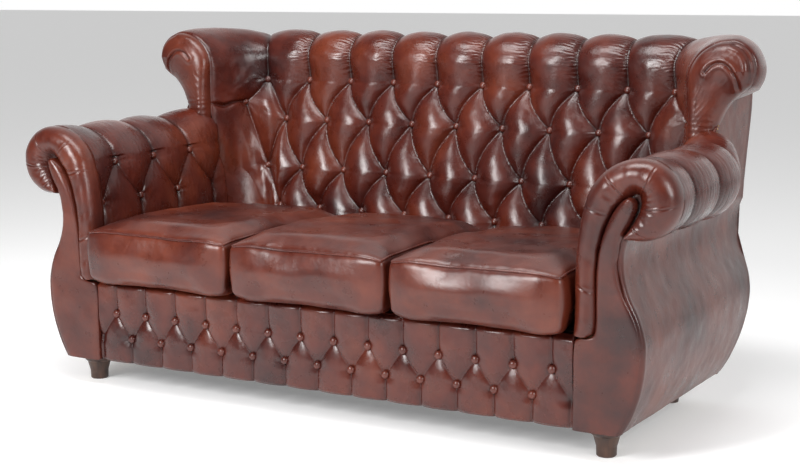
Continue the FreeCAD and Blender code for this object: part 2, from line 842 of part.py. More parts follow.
def border_section(x):
    """Outline across the front border at x, as (depth behind its front, z) pairs."""
    share = between_columns(x, size("border_pitch"))
    odd = crown_share(share)
    even = crown_share(1 - share)
    tuft = size("border_tuft")
    bottom = size("foot_height")
    top = size("deck_top") - 2
    valley = valley_height(size("border_row_high"), size("border_row_low"), share)
    back = size("border_thick") - clear
    points = [(back, bottom), (tuft * (1 - even * 0.5), bottom)]
    for down, rise in ((0.4, 1.0), (0.8, 0.8)):
        height = bottom + (valley - bottom) * down
        points.append((tuft * (1 - even * rise), height))
    points.append((tuft, valley))
    for up, rise in ((0.2, 0.8), (0.6, 1.0), (0.93, 0.8)):
        height = valley + (top - valley) * up
        points.append((tuft * (1 - odd * rise), height))
    points += [(tuft + 4, top), (back, top)]
    return points


def border_form():
    half = size("seat_half") - clear
    sections = []
    for x in steps(-half, half, size("border_pitch")):
        y = size("facing_y")
        sections.append([FreeCAD.Vector(x, y + depth, z) for depth, z in border_section(x)])
    return skin(sections)


keep(formed("front_border", border_form()), "front_border")


# Covered buttons: their narrow end is pulled into the leather. One is modelled and repeated.

BUTTON_SIDES = 8
BUTTON_NARROW = 0.12  # share of a button's radius left at its narrow end


def button_ring(radius, height):
    turns = [2 * math.pi * side / BUTTON_SIDES for side in range(BUTTON_SIDES)]
    return [FreeCAD.Vector(radius * math.cos(turn), radius * math.sin(turn), height) for turn in turns]


button_model = formed("button_model", skin([
    button_ring(size("button_radius") * BUTTON_NARROW, 0),
    button_ring(size("button_radius"), size("button_height")),
]))


def button(position, outward, lift):
    """A button that stands off a point of the leather by its lift, facing along outward."""
    copy = doc.addObject("App::Link", "button")
    copy.LinkedObject = button_model
    turn = FreeCAD.Rotation(FreeCAD.Vector(0, 0, 1), outward)
    copy.Placement = FreeCAD.Placement(position + outward * lift, turn)
    return copy


def back_plane_point(distance, up):
    """Point of the plane that the buttons are pulled back to."""
    turn = max(0.0, abs(distance) - size("corner_start")) / size("corner_radius")
    return plan_point(distance, rake_at(turn) * (up - size("back_row_one")), up)


def back_buttons():
    pitch = size("back_pitch")
    buttons = []
    rows_of_back = (
        (size("back_row_one"), 0.5, 4.5),
        (size("back_row_two"), 0.0, 5.0),
        (size("back_row_three"), 0.5, 4.5),
        (size("back_row_four"), 0.0, 4.0),
    )
    for height, first, last in rows_of_back:
        column = -last
        while column <= last:
            distance = column * pitch
            up = height + (size("corner_crease") if abs(column) == 5.0 else 0.0)
            along = back_plane_point(distance + 20, up) - back_plane_point(distance - 20, up)
            facing = along.cross(FreeCAD.Vector(0, 0, 1)).normalize()
            bent = abs(distance) > size("corner_start")
            lift = size("corner_lift") if bent else size("button_lift")
            buttons.append(button(back_plane_point(distance, up), facing, lift))
            column += 1.0
    return buttons


group("back_buttons", back_buttons())


def arm_buttons():
    buttons = []
    first = size("arm_first_button")
    pitch = size("arm_pitch")
    end = size("wing_y") - size("facing_y") - size("arm_end_room")
    for height, start in ((size("arm_row_high"), first), (size("arm_row_low"), first - pitch / 2)):
        distance = start
        while distance < end:
            x = inner_face(height) + size("arm_tuft")
            for side in (1, -1):
                spot = FreeCAD.Vector(side * x, size("facing_y") + distance, height)
                buttons.append(button(spot, FreeCAD.Vector(-side, 0, 0), size("button_lift")))
            distance += pitch
    return buttons


group("arm_buttons", arm_buttons())


def border_buttons():
    buttons = []
    pitch = size("border_pitch")
    for height, last in ((size("border_row_high"), 6.5), (size("border_row_low"), 6.0)):
        column = -last
        while column <= last:
            spot = FreeCAD.Vector(column * pitch, size("facing_y") + size("border_tuft"), height)
            buttons.append(button(spot, FreeCAD.Vector(0, -1, 0), size("button_lift")))
            column += 1.0
    return buttons


group("border_buttons", border_buttons())


# Loose seat cushions: a foam core in a leather cover

CROWN_PARTS = (0.06, 0.15, 0.3, 0.5, 0.7, 0.85, 0.94)  # shares of the depth where the crown has a point


def cushion_section(x, half, inset):
    """Outline of a cushion at x from its middle, drawn in towards its two sides."""
    share = abs(x) / half
    drawn = size("cushion_draw") * share ** 6
    front = size("facing_y") - size("cushion_nose") + inset + drawn
    rear = size("facing_y") - size("cushion_nose") + size("cushion_depth") - inset - drawn
    bottom = size("seat_height") + inset
    edge = size("seat_height") + size("cushion_edge") - inset - drawn / 3
    crown = edge + size("cushion_crown") * (1 - share ** 3 * 0.9)
    middle = (bottom + edge) / 2
    tuck = size("cushion_rounding")
    outline = [(front + tuck, bottom), (rear - tuck, bottom), (rear - tuck * 0.25, bottom + tuck)]
    outline += [(rear, middle), (rear - tuck * 0.25, edge - tuck), (rear - tuck, edge)]
    for part in CROWN_PARTS:
        outline.append((rear - tuck - (rear - front - tuck * 2) * part, edge + (crown - edge) * crown_share(part * 2)))
    outline += [(front + tuck, edge), (front + tuck * 0.25, edge - tuck), (front, middle)]
    outline.append((front + tuck * 0.25, bottom + tuck))
    return [FreeCAD.Vector(x, y, z) for y, z in outline]


def cushion_form(inset):
    half = size("cushion_pitch") / 2 - 0.2 - inset
    shares = (-1, -0.9, -0.6, 0, 0.6, 0.9, 1)
    return skin([cushion_section(share * half, half, inset) for share in shares])


for number, side in enumerate(("left", "middle", "right")):
    hollow = cushion_form(0).cut(cushion_form(size("cover_thick")))
    pieces = (("cushion_cover_" + side, hollow), ("cushion_core_" + side, cushion_form(size("cover_thick"))))
    for label, shape in pieces:
        piece = keep(formed(label, shape), label)
        place(piece, "cushion_pitch * %d" % (number - 1), "0", "0")


# Seat platform

keep(board("deck_pad", "seat_half * 2 - 2", "rear_rail_y + rail_thick - frame_y - 1",
           "deck_top - deck_z", "1 - seat_half", "frame_y + 0.5", "deck_z"), "deck_pad")
keep(board("hessian", "side_rail_x * 2 - 8", "rear_rail_y + rail_thick - frame_y - 2",
           "cloth_thick", "4 - side_rail_x", "frame_y + 1", "deck_z - cloth_thick"), "hessian")

LONG_STRAPS = 10
long_straps = []
for number in range(LONG_STRAPS):
    centre = (number - (LONG_STRAPS - 1) / 2) / LONG_STRAPS * 2
    long_straps.append(strip(
        "long_strap", "webbing_width", "rear_rail_y + rail_thick - frame_y", "webbing_thick",
        "seat_half * %.3f - webbing_width / 2" % centre, "frame_y", "rail_top",
    ))
group("seat_webbing_long", long_straps)

CROSS_STRAPS = 5
cross_straps = []
for number in range(CROSS_STRAPS):
    share = (number + 0.8) / (CROSS_STRAPS + 0.8)
    cross_straps.append(strip(
        "cross_strap", "side_rail_x * 2 + rail_thick * 2", "webbing_width", "webbing_thick",
        "0 - side_rail_x - rail_thick", "frame_y + (rear_rail_y - frame_y) * %.3f" % share,
        "rail_top + webbing_thick",
    ))
group("seat_webbing_cross", cross_straps)


# Seat frame

keep(board("front_rail", "(side_rail_x - block_length) * 2", "rail_thick", "rail_height",
           "block_length - side_rail_x", "frame_y", "frame_z"), "front_rail")
keep(board("rear_rail", "side_rail_x * 2", "rail_thick", "rail_height",
           "0 - side_rail_x", "rear_rail_y", "frame_z"), "rear_rail")
side_rail = board("side_rail_right", "rail_thick", "rear_rail_y + rail_thick - frame_y", "rail_height",
                  "side_rail_x", "frame_y", "frame_z")
both_sides(side_rail, "side_rail")
seat_brace = board("seat_brace_right", "rail_thick", "rear_rail_y - frame_y - rail_thick",
                   "rail_height / 2", "seat_half / 3 - rail_thick / 2", "frame_y + rail_thick",
                   "frame_z + rail_height / 2")
both_sides(seat_brace, "seat_brace")


def bored_block(name, length, x, y, bolt_x, bolt_y):
    """A corner block of the seat frame, bored for the bolt of the foot under it."""
    block = board(name, length, "block_depth", "rail_height", x, y, "frame_z")
    bore = rod(name + "_bore", "bolt_radius + 0.2", "bolt_in_block + 2", bolt_x, bolt_y, "frame_z - 1")
    return cut(name, block, bore)


front_block = bored_block("front_block_right", "block_length", "side_rail_x - block_length",
                          "frame_y", "front_foot_x", "front_foot_y")
rear_block = bored_block("rear_block_right", "side_rail_x - rear_foot_x + block_length / 2",
                         "rear_foot_x - block_length / 2", "rear_rail_y - block_depth",
                         "rear_foot_x", "rear_foot_y")
group("corner_blocks", [
    front_block, mirrored(front_block, "front_block_left"),
    rear_block, mirrored(rear_block, "rear_block_left"),
])


# Feet and their bolts

def front_foot_outline():
    top = size("foot_height")
    radius = size("foot_radius")
    bore = size("bolt_radius") + 0.2
    bore_end = top - size("bolt_in_foot") - 2
    slim = radius * 0.7
    neck = radius * 0.93
    bead = radius + 4
    return polygon([
        flat(0, 0), flat(slim - 3, 0), flat(slim, 3), flat(slim + 1, top * 0.35), flat(neck, top * 0.71),
        flat(bead, top * 0.79), flat(bead, top * 0.91), flat(radius, top), flat(bore, top),
        flat(bore, bore_end), flat(0, bore_end),
    ])


def rear_foot_outline():
    top = size("foot_height")
    radius = size("foot_radius")
    bore = size("bolt_radius") + 0.2
    bore_end = top - size("bolt_in_foot") - 2
    return polygon([
        flat(0, 0), flat(radius * 0.75, 0), flat(radius, top), flat(bore, top),
        flat(bore, bore_end), flat(0, bore_end),
    ])


front_foot = turned("front_foot_right", front_foot_outline())
place(front_foot, "front_foot_x", "front_foot_y", "0")
group("front_feet", [front_foot, mirrored(front_foot, "front_foot_left")])
rear_foot = turned("rear_foot_right", rear_foot_outline())
place(rear_foot, "rear_foot_x", "rear_foot_y", "0")
group("rear_feet", [rear_foot, mirrored(rear_foot, "rear_foot_left")])

foot_places = []
for side in ("", "0 - "):
    foot_places.append((side + "front_foot_x", "front_foot_y"))
    foot_places.append((side + "rear_foot_x", "rear_foot_y"))
group("foot_bolts", [
    rod("foot_bolt", "bolt_radius", "bolt_in_foot + bolt_in_block", x, y, "foot_height - bolt_in_foot")
    for x, y in foot_places
])

dust_sheet = board("dust_sheet", "side_rail_x * 2", "rear_rail_y + rail_thick - frame_y", "cloth_thick",
                   "0 - side_rail_x", "frame_y", "foot_height")
dust_holes = doc.addObject("Part::Compound", "dust_holes")
dust_holes.Links = [
    strip("dust_hole", "bolt_radius * 2 + 1", "bolt_radius * 2 + 1", "cloth_thick + 4",
          x + " - bolt_radius - 0.5", y + " - bolt_radius - 0.5", "foot_height - 2")
    for x, y in foot_places
]
keep(cut("dust_cover", dust_sheet, dust_holes), "dust_cover")


# Arm and back frame

arm_rail = board("arm_rail_right", "side_rail_x + rail_thick - arm_inner_x - 2",
                 "wing_y - frame_y", "arm_rail_height", "arm_inner_x + 2", "frame_y", "arm_rail_bottom")
both_sides(arm_rail, "arm_rail")
arm_stay = board("arm_stay_right", "side_rail_x + rail_thick - arm_inner_x - 2",
                 "wing_y - frame_y", "rail_thick", "arm_inner_x + 2", "frame_y", "pad_bottom")
both_sides(arm_stay, "arm_stay")
wing_post = board("wing_post_right", "top_rail_thick", "rail_thick * 1.7",
                  "top_rail_bottom - rail_top", "wing_rail_x", "wing_y + clearance", "rail_top")
both_sides(wing_post, "wing_post")
keep(board("top_rail", "corner_start * 2", "top_rail_thick", "top_rail_height",
           "0 - corner_start", "back_y + rail_gap", "top_rail_bottom"), "top_rail")


def wing_rail_outline():
    inner = size("corner_radius") + size("rail_gap")
    outer = inner + size("top_rail_thick")
    bottom = size("top_rail_bottom")
    top = size("top_rail_top")
    return polygon([flat(inner, bottom), flat(outer, bottom), flat(outer, top), flat(inner, top)])


wing_rail = turned("wing_rail_right", wing_rail_outline(), 90)
place(wing_rail, "corner_start", "wing_y", "0")
both_sides(wing_rail, "wing_rail")


def post_outline():
    """Side view of a back post: it is fixed behind the rear rail and carries the top rail."""
    rear = rear_line(size("panel_thick") + size("post_gap"), outside_back_top())
    slope = (rear[-1].x - rear[-2].x) / (rear[-1].y - rear[-2].y)
    rear[-1] = flat(rear[-2].x + slope * (size("top_rail_bottom") - rear[-2].y), size("top_rail_bottom"))
    rail_rear = size("rear_rail_y") + size("rail_thick")
    stay_rear = rail_rear + size("top_rail_thick") + 0.5
    notch = size("pad_bottom") - size("rail_thick") * 2
    pad_rear = size("back_y") + size("back_pad") + size("webbing_thick") + clear
    top = size("top_rail_bottom")
    bottom = size("pad_bottom")
    row = size("back_row_one")
    rake = size("back_rake")
    rear[0] = flat(rear[0].x + size("post_foot_in"), size("foot_height") + size("post_foot_up"))
    front = [
        flat(pad_rear + rake * (top - row), top),
        flat(pad_rear + rake * (bottom - row), bottom),
        flat(stay_rear, bottom),
        flat(stay_rear, notch),
        flat(rail_rear, notch),
        flat(rail_rear, rear[0].y),
    ]
    return polygon(rear + front)


back_post = profile_body("back_post_right", "YZ_Plane", post_outline(), "post_width",
                         x="corner_start - post_width - 20")
both_sides(back_post, "back_post")
back_upright = profile_body("back_upright_right", "YZ_Plane", post_outline(), "post_width",
                            x="corner_start / 3 - post_width / 2")
both_sides(back_upright, "back_upright")
keep(board("back_stay", "corner_start * 2", "top_rail_thick", "rail_thick * 2 - 0.5", "0 - corner_start",
           "rear_rail_y + rail_thick", "pad_bottom - rail_thick * 2 + 0.2"), "back_stay")


BACK_STRAPS = 5


def back_straps():
    """Webbing stretched level across the posts, behind the stuffing and leaning with it."""
    lean = FreeCAD.Rotation(FreeCAD.Vector(1, 0, 0), -math.degrees(math.atan(size("back_rake"))))
    straps = []
    for number in range(BACK_STRAPS):
        share = (number + 0.5) / BACK_STRAPS
        strap = strip("back_strap", "(corner_start - 20) * 2", "webbing_thick", "webbing_width",
                      "20 - corner_start", "0", "0")
        strap.Placement.Rotation = lean
        height = "(pad_bottom + (top_rail_bottom - webbing_width - pad_bottom) * %.2f)" % share
        reach = "back_y + back_pad + clearance / 2 + back_rake * (%s - back_row_one)" % height
        place(strap, "20 - corner_start", reach, height)
        straps.append(strap)
    return straps


group("back_webbing", back_straps())


# Check each piece and write it.

doc.recompute()
failed = []
for item in doc.Objects:
    if "Invalid" in item.State or "Error" in item.State:
        failed.append(item.Name)
for item in nodes:
    if item.Shape.isNull() or not item.Shape.isValid() or not item.Shape.Solids:
        failed.append(item.Label)
if failed:
    raise RuntimeError("pieces that failed: " + ", ".join(failed))
os.makedirs("parts", exist_ok=True)
for item in nodes:
    item.Shape.exportStep(os.path.join("parts", item.Label + ".step"))
print("pieces written:", len(nodes))
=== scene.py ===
import json
import math

import bmesh
import bpy
import numpy as np
from mathutils import Matrix, Vector


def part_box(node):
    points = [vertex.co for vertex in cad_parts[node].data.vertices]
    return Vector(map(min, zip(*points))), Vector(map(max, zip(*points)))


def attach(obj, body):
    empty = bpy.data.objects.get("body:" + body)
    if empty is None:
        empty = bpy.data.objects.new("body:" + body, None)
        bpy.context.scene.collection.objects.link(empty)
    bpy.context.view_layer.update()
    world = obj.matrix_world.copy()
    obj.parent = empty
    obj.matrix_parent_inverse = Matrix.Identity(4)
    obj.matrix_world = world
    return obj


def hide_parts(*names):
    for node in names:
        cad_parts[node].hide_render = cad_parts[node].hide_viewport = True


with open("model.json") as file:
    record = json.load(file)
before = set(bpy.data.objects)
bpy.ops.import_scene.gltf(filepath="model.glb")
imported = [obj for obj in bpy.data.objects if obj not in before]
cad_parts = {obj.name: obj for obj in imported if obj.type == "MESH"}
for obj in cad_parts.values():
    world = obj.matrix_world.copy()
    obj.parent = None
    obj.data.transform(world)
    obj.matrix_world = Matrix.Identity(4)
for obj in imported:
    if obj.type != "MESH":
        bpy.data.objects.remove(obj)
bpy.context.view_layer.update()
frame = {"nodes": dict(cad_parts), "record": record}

# Chesterfield sofa: leather, seams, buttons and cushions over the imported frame. Metres, +Z up,
# the front faces -Y. Points with a column and a row are counted in button pitches.


def low(node):
    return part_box(node)[0]


def high(node):
    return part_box(node)[1]


# Sizes read from the frame
SEAT_HALF = low("facing_panel_right").x
FACING_Y = low("facing_panel_right").y
FRAME_Y = high("facing_roll_right").y
WING_Y = high("wing_front_right").y
BASE_Z = low("facing_panel_right").z
PAD_BOTTOM = low("back_pad").z

# Sizes shared with the part
CORNER_START = SEAT_HALF - 0.1385
CORNER_RADIUS = 0.2
BACK_TOP = 1.015
WING_TOP = 1.025
ROW_ONE = BACK_TOP - 0.161
ROW_TWO = ROW_ONE - 0.126
ROW_THREE = ROW_TWO - 0.154
ROW_FOUR = ROW_THREE - 0.125
BACK_LENGTH = CORNER_START + CORNER_RADIUS * math.pi / 2
BACK_PITCH = (BACK_LENGTH - 0.2245) / 4.5
BACK_TUFT = 0.038
BACK_RAKE = 0.183
RAKE_FADE = 1.6
CREASE_RISE = 0.055
ROLL_OUT = 0.058
ROLL_RADIUS = 0.1
ROLL_GROOVE = 0.024
WING_ROLL_OUT = 0.1
WING_ROLL_RADIUS = 0.092
SCROLL_OUT = 0.1665
SCROLL_Z = 0.658
SCROLL_RADIUS = 0.099
SHOULDER_OUT = 0.0285
SHOULDER_Z = 0.664
NECK_Z = 0.470
ARM_TUFT = 0.024
ARM_PITCH = 0.18
ARM_FIRST = 0.15
ARM_ROW_HIGH = 0.646
ARM_ROW_LOW = 0.535
ARM_ROW_STEP = 0.111
FOOT_X = SEAT_HALF + 0.1185
BULGE = (SEAT_HALF + 0.1785, 0.280)
WAIST = (SEAT_HALF + 0.1155, 0.508)
TIP = (WAIST[0] + 0.011, SCROLL_Z - SCROLL_RADIUS)
ROLL_FOOT_Z = 0.311
ROLL_WIDTH = 0.06
BORDER_PITCH = (SEAT_HALF - 0.0617) / 6.5
BORDER_HIGH = 0.2187
BORDER_LOW = 0.1474
BORDER_TUFT = 0.018
BUTTON_RADIUS = 0.0112
PANEL_GAP = 0.0083
# Share of the rear's height, and how far the rear lies behind its foot there
REAR_LEAN = ((0.0, 0.0), (0.238, 0.071), (0.49, 0.141), (0.713, 0.166), (0.875, 0.196), (1.0, 0.224))
REAR_TOP = BACK_TOP - 2 * ROLL_RADIUS - 0.003
REAR_FOOT_Y = FACING_Y + 0.719


# Camera at the photograph's angle

def put(name, data):
    """New object of the scene that holds the given data."""
    item = bpy.data.objects.new(name, data)
    bpy.context.scene.collection.objects.link(item)
    return item


CAMERA_TURNS = (30.2729, 9.1513, -0.3561)  # yaw to the left, pitch down and roll, in degrees
CAMERA_PLACE = (2.3334, -3.9953, 1.1918)
CAMERA_LENS = 72.23
CAMERA_SENSOR = 36.0


def set_camera():
    yaw, pitch, roll = (math.radians(turn) for turn in CAMERA_TURNS)
    forward = Vector((-math.sin(yaw) * math.cos(pitch), math.cos(yaw) * math.cos(pitch), -math.sin(pitch)))
    level = Vector((math.cos(yaw), math.sin(yaw), 0.0))
    above = level.cross(forward)
    right = level * math.cos(roll) + above * math.sin(roll)
    up = above * math.cos(roll) - level * math.sin(roll)
    data = bpy.data.cameras.new("camera")
    data.lens = CAMERA_LENS
    data.sensor_width = CAMERA_SENSOR
    camera = put("camera", data)
    turn = Matrix((right, up, -forward)).transposed().to_4x4()
    camera.matrix_world = Matrix.Translation(CAMERA_PLACE) @ turn
    bpy.context.scene.camera = camera


set_camera()


# Small functions for shapes

def smooth(x):
    """Step from 0 to 1 with soft ends."""
    x = np.clip(x, 0.0, 1.0)
    return x * x * (3 - 2 * x)


def bell(x, width):
    """Hump of height 1 about 0."""
    return np.exp(-(x / width) ** 2)


def lumps(u, v, cell, seed):
    """Smooth random field between -1 and 1 over two distances, its lumps one cell wide."""
    table = np.random.default_rng(seed).uniform(-1, 1, (128, 128))
    x = np.asarray(u / cell + 50.0)
    y = np.asarray(v / cell + 50.0)
    x, y = np.broadcast_arrays(x, y)
    i = np.floor(x).astype(int)
    j = np.floor(y).astype(int)
    a = smooth(x - i)
    b = smooth(y - j)
    i0, i1, j0, j1 = i % 128, (i + 1) % 128, j % 128, (j + 1) % 128
    near = table[i0, j0] * (1 - a) + table[i1, j0] * a
    far = table[i0, j1] * (1 - a) + table[i1, j1] * a
    return near * (1 - b) + far * b


# Height, width and seed of each piece's broad lumps and fine lumps
UNEVEN = {
    "back": ((0.0016, 0.07, 21), (0.0007, 0.024, 22)),
    "arm": ((0.0016, 0.06, 41), (0.0006, 0.02, 42)),
    "outside_panel": ((0.0016, 0.11, 81), (0.0006, 0.03, 82)),
    "outside_back": ((0.0018, 0.13, 91), (0.0006, 0.035, 92)),
    "border": ((0.0012, 0.05, 102), (0.0005, 0.018, 103)),
    "cushion": ((0.0045, 0.13, 111), (0.0016, 0.045, 112)),
}


def uneven(kind, broad, fine):
    """Unevenness of a piece, where broad and fine are the two places that its lumps are read at."""
    (broad_height, *broad_rest), (fine_height, *fine_rest) = UNEVEN[kind]
    return broad_height * lumps(*broad, *broad_rest) + fine_height * lumps(*fine, *fine_rest)


def run_length(points):
    """Distance along a run of points, from its start."""
    gaps = np.linalg.norm(np.diff(points, axis=0), axis=1)
    return np.concatenate([[0.0], np.cumsum(gaps)])


def pairs(first, second):
    return np.stack([first, second], axis=-1)


def share_along(points):
    """Share of the way along a run of points, 0 at its start and 1 at its end."""
    along = run_length(points)
    return along / along[-1]


def line_at(stops, marks, line):
    """Points of a line at some stops, where the marks say how far along its own points are."""
    return np.stack([np.interp(stops, marks, line[:, axis]) for axis in range(line.shape[1])], axis=1)


def resample(points, count):
    """Even points along a run of points."""
    points = np.asarray(points, float)
    along = run_length(points)
    return line_at(np.linspace(0, along[-1], count), along, points)


def rounded(points, count, passes=3):
    """A run of points with its corners rounded off, sampled evenly."""
    points = np.asarray(points, float)
    for _ in range(passes):
        quarter = points[:-1] * 0.75 + points[1:] * 0.25
        three = points[:-1] * 0.25 + points[1:] * 0.75
        middle = np.stack([quarter, three], axis=1).reshape(-1, points.shape[1])
        points = np.concatenate([points[:1], middle, points[-1:]])
    return resample(points, count)


def set_fold_shade(mesh, values):
    """Store how open the leather lies at each point, 0 deep in a fold and 1 on a crown; the leather material
    darkens low values as painted shade.
    """
    layer = mesh.attributes.new("fold", "FLOAT", "POINT")
    layer.data.foreach_set("value", np.asarray(values, np.float32).ravel())


def shade_smooth(mesh):
    mesh.polygons.foreach_set("use_smooth", np.ones(len(mesh.polygons), bool))


def make_mesh(name, vertices, faces, fold=None, weld=False):
    mesh = bpy.data.meshes.new(name)
    mesh.from_pydata(np.asarray(vertices).reshape(-1, 3).tolist(), [], faces)
    if fold is not None:
        set_fold_shade(mesh, fold)
    work = bmesh.new()
    work.from_mesh(mesh)
    if weld:
        bmesh.ops.remove_doubles(work, verts=work.verts, dist=0.00001)
    bmesh.ops.recalc_face_normals(work, faces=work.faces)
    work.to_mesh(mesh)
    work.free()
    shade_smooth(mesh)
    return mesh


def grid_faces(rows, columns, caps=True, offset=0):
    """Faces of a grid of points whose rows are closed rings, its two ends shut by caps."""
    here = np.arange(rows * columns).reshape(rows, columns) + offset
    there = np.roll(here, -1, axis=1)
    faces = np.stack([here[:-1], there[:-1], there[1:], here[1:]], axis=-1).reshape(-1, 4).tolist()
    if caps:
        faces += [here[0].tolist(), here[-1].tolist()]
    return faces


def piece(name, mesh, body, slot, material, *nodes):
    """Link a piece, let it ride on its body and stand for the given nodes of the frame."""
    item = put(name, mesh)
    mesh.materials.append(material)
    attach(item, body)
    if nodes:
        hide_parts(*nodes)
    return item


def grid_piece(name, points, fold, material, *nodes):
    """Leather piece of the fixed body over a grid of points, its fold values giving it painted shade."""
    mesh = make_mesh(name, points, grid_faces(*points.shape[:2]), fold)
    return piece(name, mesh, "root", "leather", material, *nodes)


def closed_sheet(points, share, shift):
    """A sheet of points with a second one behind it, shifted, as rings."""
    rear = points + np.array(shift)
    return np.concatenate([points, rear[:, ::-1]], axis=1), np.concatenate([share, share[:, ::-1]], axis=1)


def ring_tube(name, path, radius, sides=8):
    """Round tube along a level closed run of points."""
    forward = np.roll(path, -1, axis=0) - np.roll(path, 1, axis=0)
    forward /= np.linalg.norm(forward, axis=1)[:, None]
    side = np.cross(forward, np.tile([0.0, 0.0, 1.0], (len(path), 1)))
    side /= np.linalg.norm(side, axis=1)[:, None]
    other = np.cross(forward, side)
    turns = np.linspace(0, 2 * math.pi, sides, endpoint=False)
    ring = side[:, None, :] * np.cos(turns)[None, :, None] + other[:, None, :] * np.sin(turns)[None, :, None]
    points = path[:, None, :] + ring * radius
    points = np.concatenate([points, points[:1]])
    faces = grid_faces(len(points), sides, caps=False)
    # Painted shade: a fold value of 0.6 darkens the whole tube a little.
    return make_mesh(name, points, faces, np.full(points.shape[:2], 0.6))


def mirror_x(points):
    return points * np.array([-1.0, 1.0, 1.0])


SIDES = ((1, "right"), (-1, "left"))


# Materials

def new_material(name):
    material = bpy.data.materials.new(name)
    material.use_nodes = True
    nodes = material.node_tree.nodes
    shader = next(node for node in nodes if node.type == "BSDF_PRINCIPLED")
    return material, material.node_tree, shader


def add(tree, kind, **settings):
    node = tree.nodes.new(kind)
    for name, value in settings.items():
        setattr(node, name, value)
    return node


def noise(tree, where, scale, detail=4.0, roughness=0.55):
    node = add(tree, "ShaderNodeTexNoise")
    node.inputs["Scale"].default_value = scale
    node.inputs["Detail"].default_value = detail
    node.inputs["Roughness"].default_value = roughness
    tree.links.new(where, node.inputs["Vector"])
    return node.outputs["Fac"]


def ramp(tree, value, *stops):
    """Colour ramp from (position, colour) stops."""
    node = add(tree, "ShaderNodeValToRGB")
    elements = node.color_ramp.elements
    while len(elements) < len(stops):
        elements.new(0.5)
    for element, (position, colour) in zip(elements, stops):
        element.position = position
        element.color = (*colour, 1.0)
    tree.links.new(value, node.inputs["Fac"])
    return node.outputs["Color"]


def mapped(tree, setting, value):
    """Object coordinates, moved, turned or stretched by one setting."""
    node = add(tree, "ShaderNodeMapping")
    node.inputs[setting].default_value = value
    tree.links.new(add(tree, "ShaderNodeTexCoord").outputs["Object"], node.inputs["Vector"])
    return node.outputs["Vector"]


def mix(tree, share, first, second, blend):
    node = add(tree, "ShaderNodeMix", data_type="RGBA", blend_type=blend)
    node.inputs[0].default_value = share
    tree.links.new(first, node.inputs[6])
    tree.links.new(second, node.inputs[7])
    return node.outputs[2]


def level(tree, value, *limits):
    """Map a value from one range to another, given as lowest and highest in, lowest and highest out."""
    node = add(tree, "ShaderNodeMapRange")
    for name, number in zip(("From Min", "From Max", "To Min", "To Max"), limits):
        node.inputs[name].default_value = number
    tree.links.new(value, node.inputs["Value"])
    return node.outputs["Result"]


def bumps(tree, shader, *layers):
    """Chain of bump nodes from (height, strength, distance) layers into the shader's normal."""
    normal = None
    for height, strength, distance in layers:
        node = add(tree, "ShaderNodeBump")
        node.inputs["Strength"].default_value = strength
        node.inputs["Distance"].default_value = distance
        tree.links.new(height, node.inputs["Height"])
        if normal is not None:
            tree.links.new(normal, node.inputs["Normal"])
        normal = node.outputs["Normal"]
    tree.links.new(normal, shader.inputs["Normal"])


PLAIN = (1.0, 1.0, 1.0)


def leather(name, dark, main, bright, gloss=0.27, shift=0.0):
    """Semi-gloss antique leather: mottled dye, painted shade in its folds from the fold attribute, fine grain
    and creases.
    """
    material, tree, shader = new_material(name)
    where = mapped(tree, "Location", (shift, shift * 0.7, -shift))
    clouds = noise(tree, where, 4.5, 5.0, 0.6)
    blotches = noise(tree, where, 16.0, 4.0, 0.6)
    dye = ramp(tree, clouds, (0.32, dark), (0.5, main), (0.7, bright))
    spots = ramp(tree, blotches, (0.3, (0.72, 0.7, 0.7)), (0.6, PLAIN), (0.8, (1.12, 1.08, 1.05)))
    colour = mix(tree, 0.8, dye, spots, "MULTIPLY")
    # Painted shade: the fold attribute darkens the colour deep in folds, seams and gaps, where shade falls.
    fold = add(tree, "ShaderNodeAttribute", attribute_name="fold").outputs["Fac"]
    shade = ramp(tree, fold, (0.0, (0.22, 0.16, 0.18)), (0.4, (0.8, 0.72, 0.74)), (0.9, PLAIN))
    colour = mix(tree, 1.0, colour, shade, "MULTIPLY")
    tree.links.new(colour, shader.inputs["Base Color"])
    cells = add(tree, "ShaderNodeTexVoronoi")
    cells.inputs["Scale"].default_value = 620.0
    tree.links.new(where, cells.inputs["Vector"])
    rough = level(tree, blotches, 0.3, 0.75, gloss - 0.05, gloss + 0.1)
    tree.links.new(rough, shader.inputs["Roughness"])
    shader.inputs["Specular IOR Level"].default_value = 0.42
    shader.inputs["Coat Weight"].default_value = 0.16
    shader.inputs["Coat Roughness"].default_value = 0.22
    wrinkles = noise(tree, where, 70.0, 5.0, 0.65)
    waves = noise(tree, where, 22.0, 3.0, 0.5)
    grain = cells.outputs["Distance"]
    bumps(tree, shader, (waves, 0.35, 0.004), (wrinkles, 0.35, 0.0012), (grain, 0.35, 0.0004))
    return material


# Dark, main and bright dye
TUFTED_DYE = ((0.026, 0.0042, 0.0036), (0.070, 0.0096, 0.0046), (0.124, 0.0225, 0.0084))
SMOOTH_DYE = ((0.026, 0.0042, 0.0036), (0.074, 0.0114, 0.0052), (0.128, 0.025, 0.0105))
BUTTON_DYE = ((0.05, 0.0085, 0.006), (0.088, 0.0165, 0.0095), (0.125, 0.028, 0.016))
TUFTED = leather("leather_tufted", *TUFTED_DYE)
SMOOTH = leather("leather_smooth", *SMOOTH_DYE, gloss=0.3, shift=3.1)
BUTTON = leather("leather_button", *BUTTON_DYE, gloss=0.26)


def wood_material(name, dark, bright, gloss, scale):
    material, tree, shader = new_material(name)
    grain = noise(tree, mapped(tree, "Scale", (scale, scale, scale * 0.12)), 1.0, 6.0, 0.6)
    tree.links.new(ramp(tree, grain, (0.35, dark), (0.65, bright)), shader.inputs["Base Color"])
    tree.links.new(level(tree, grain, 0.3, 0.7, gloss, gloss + 0.15), shader.inputs["Roughness"])
    bumps(tree, shader, (grain, 0.25, 0.0008))
    return material


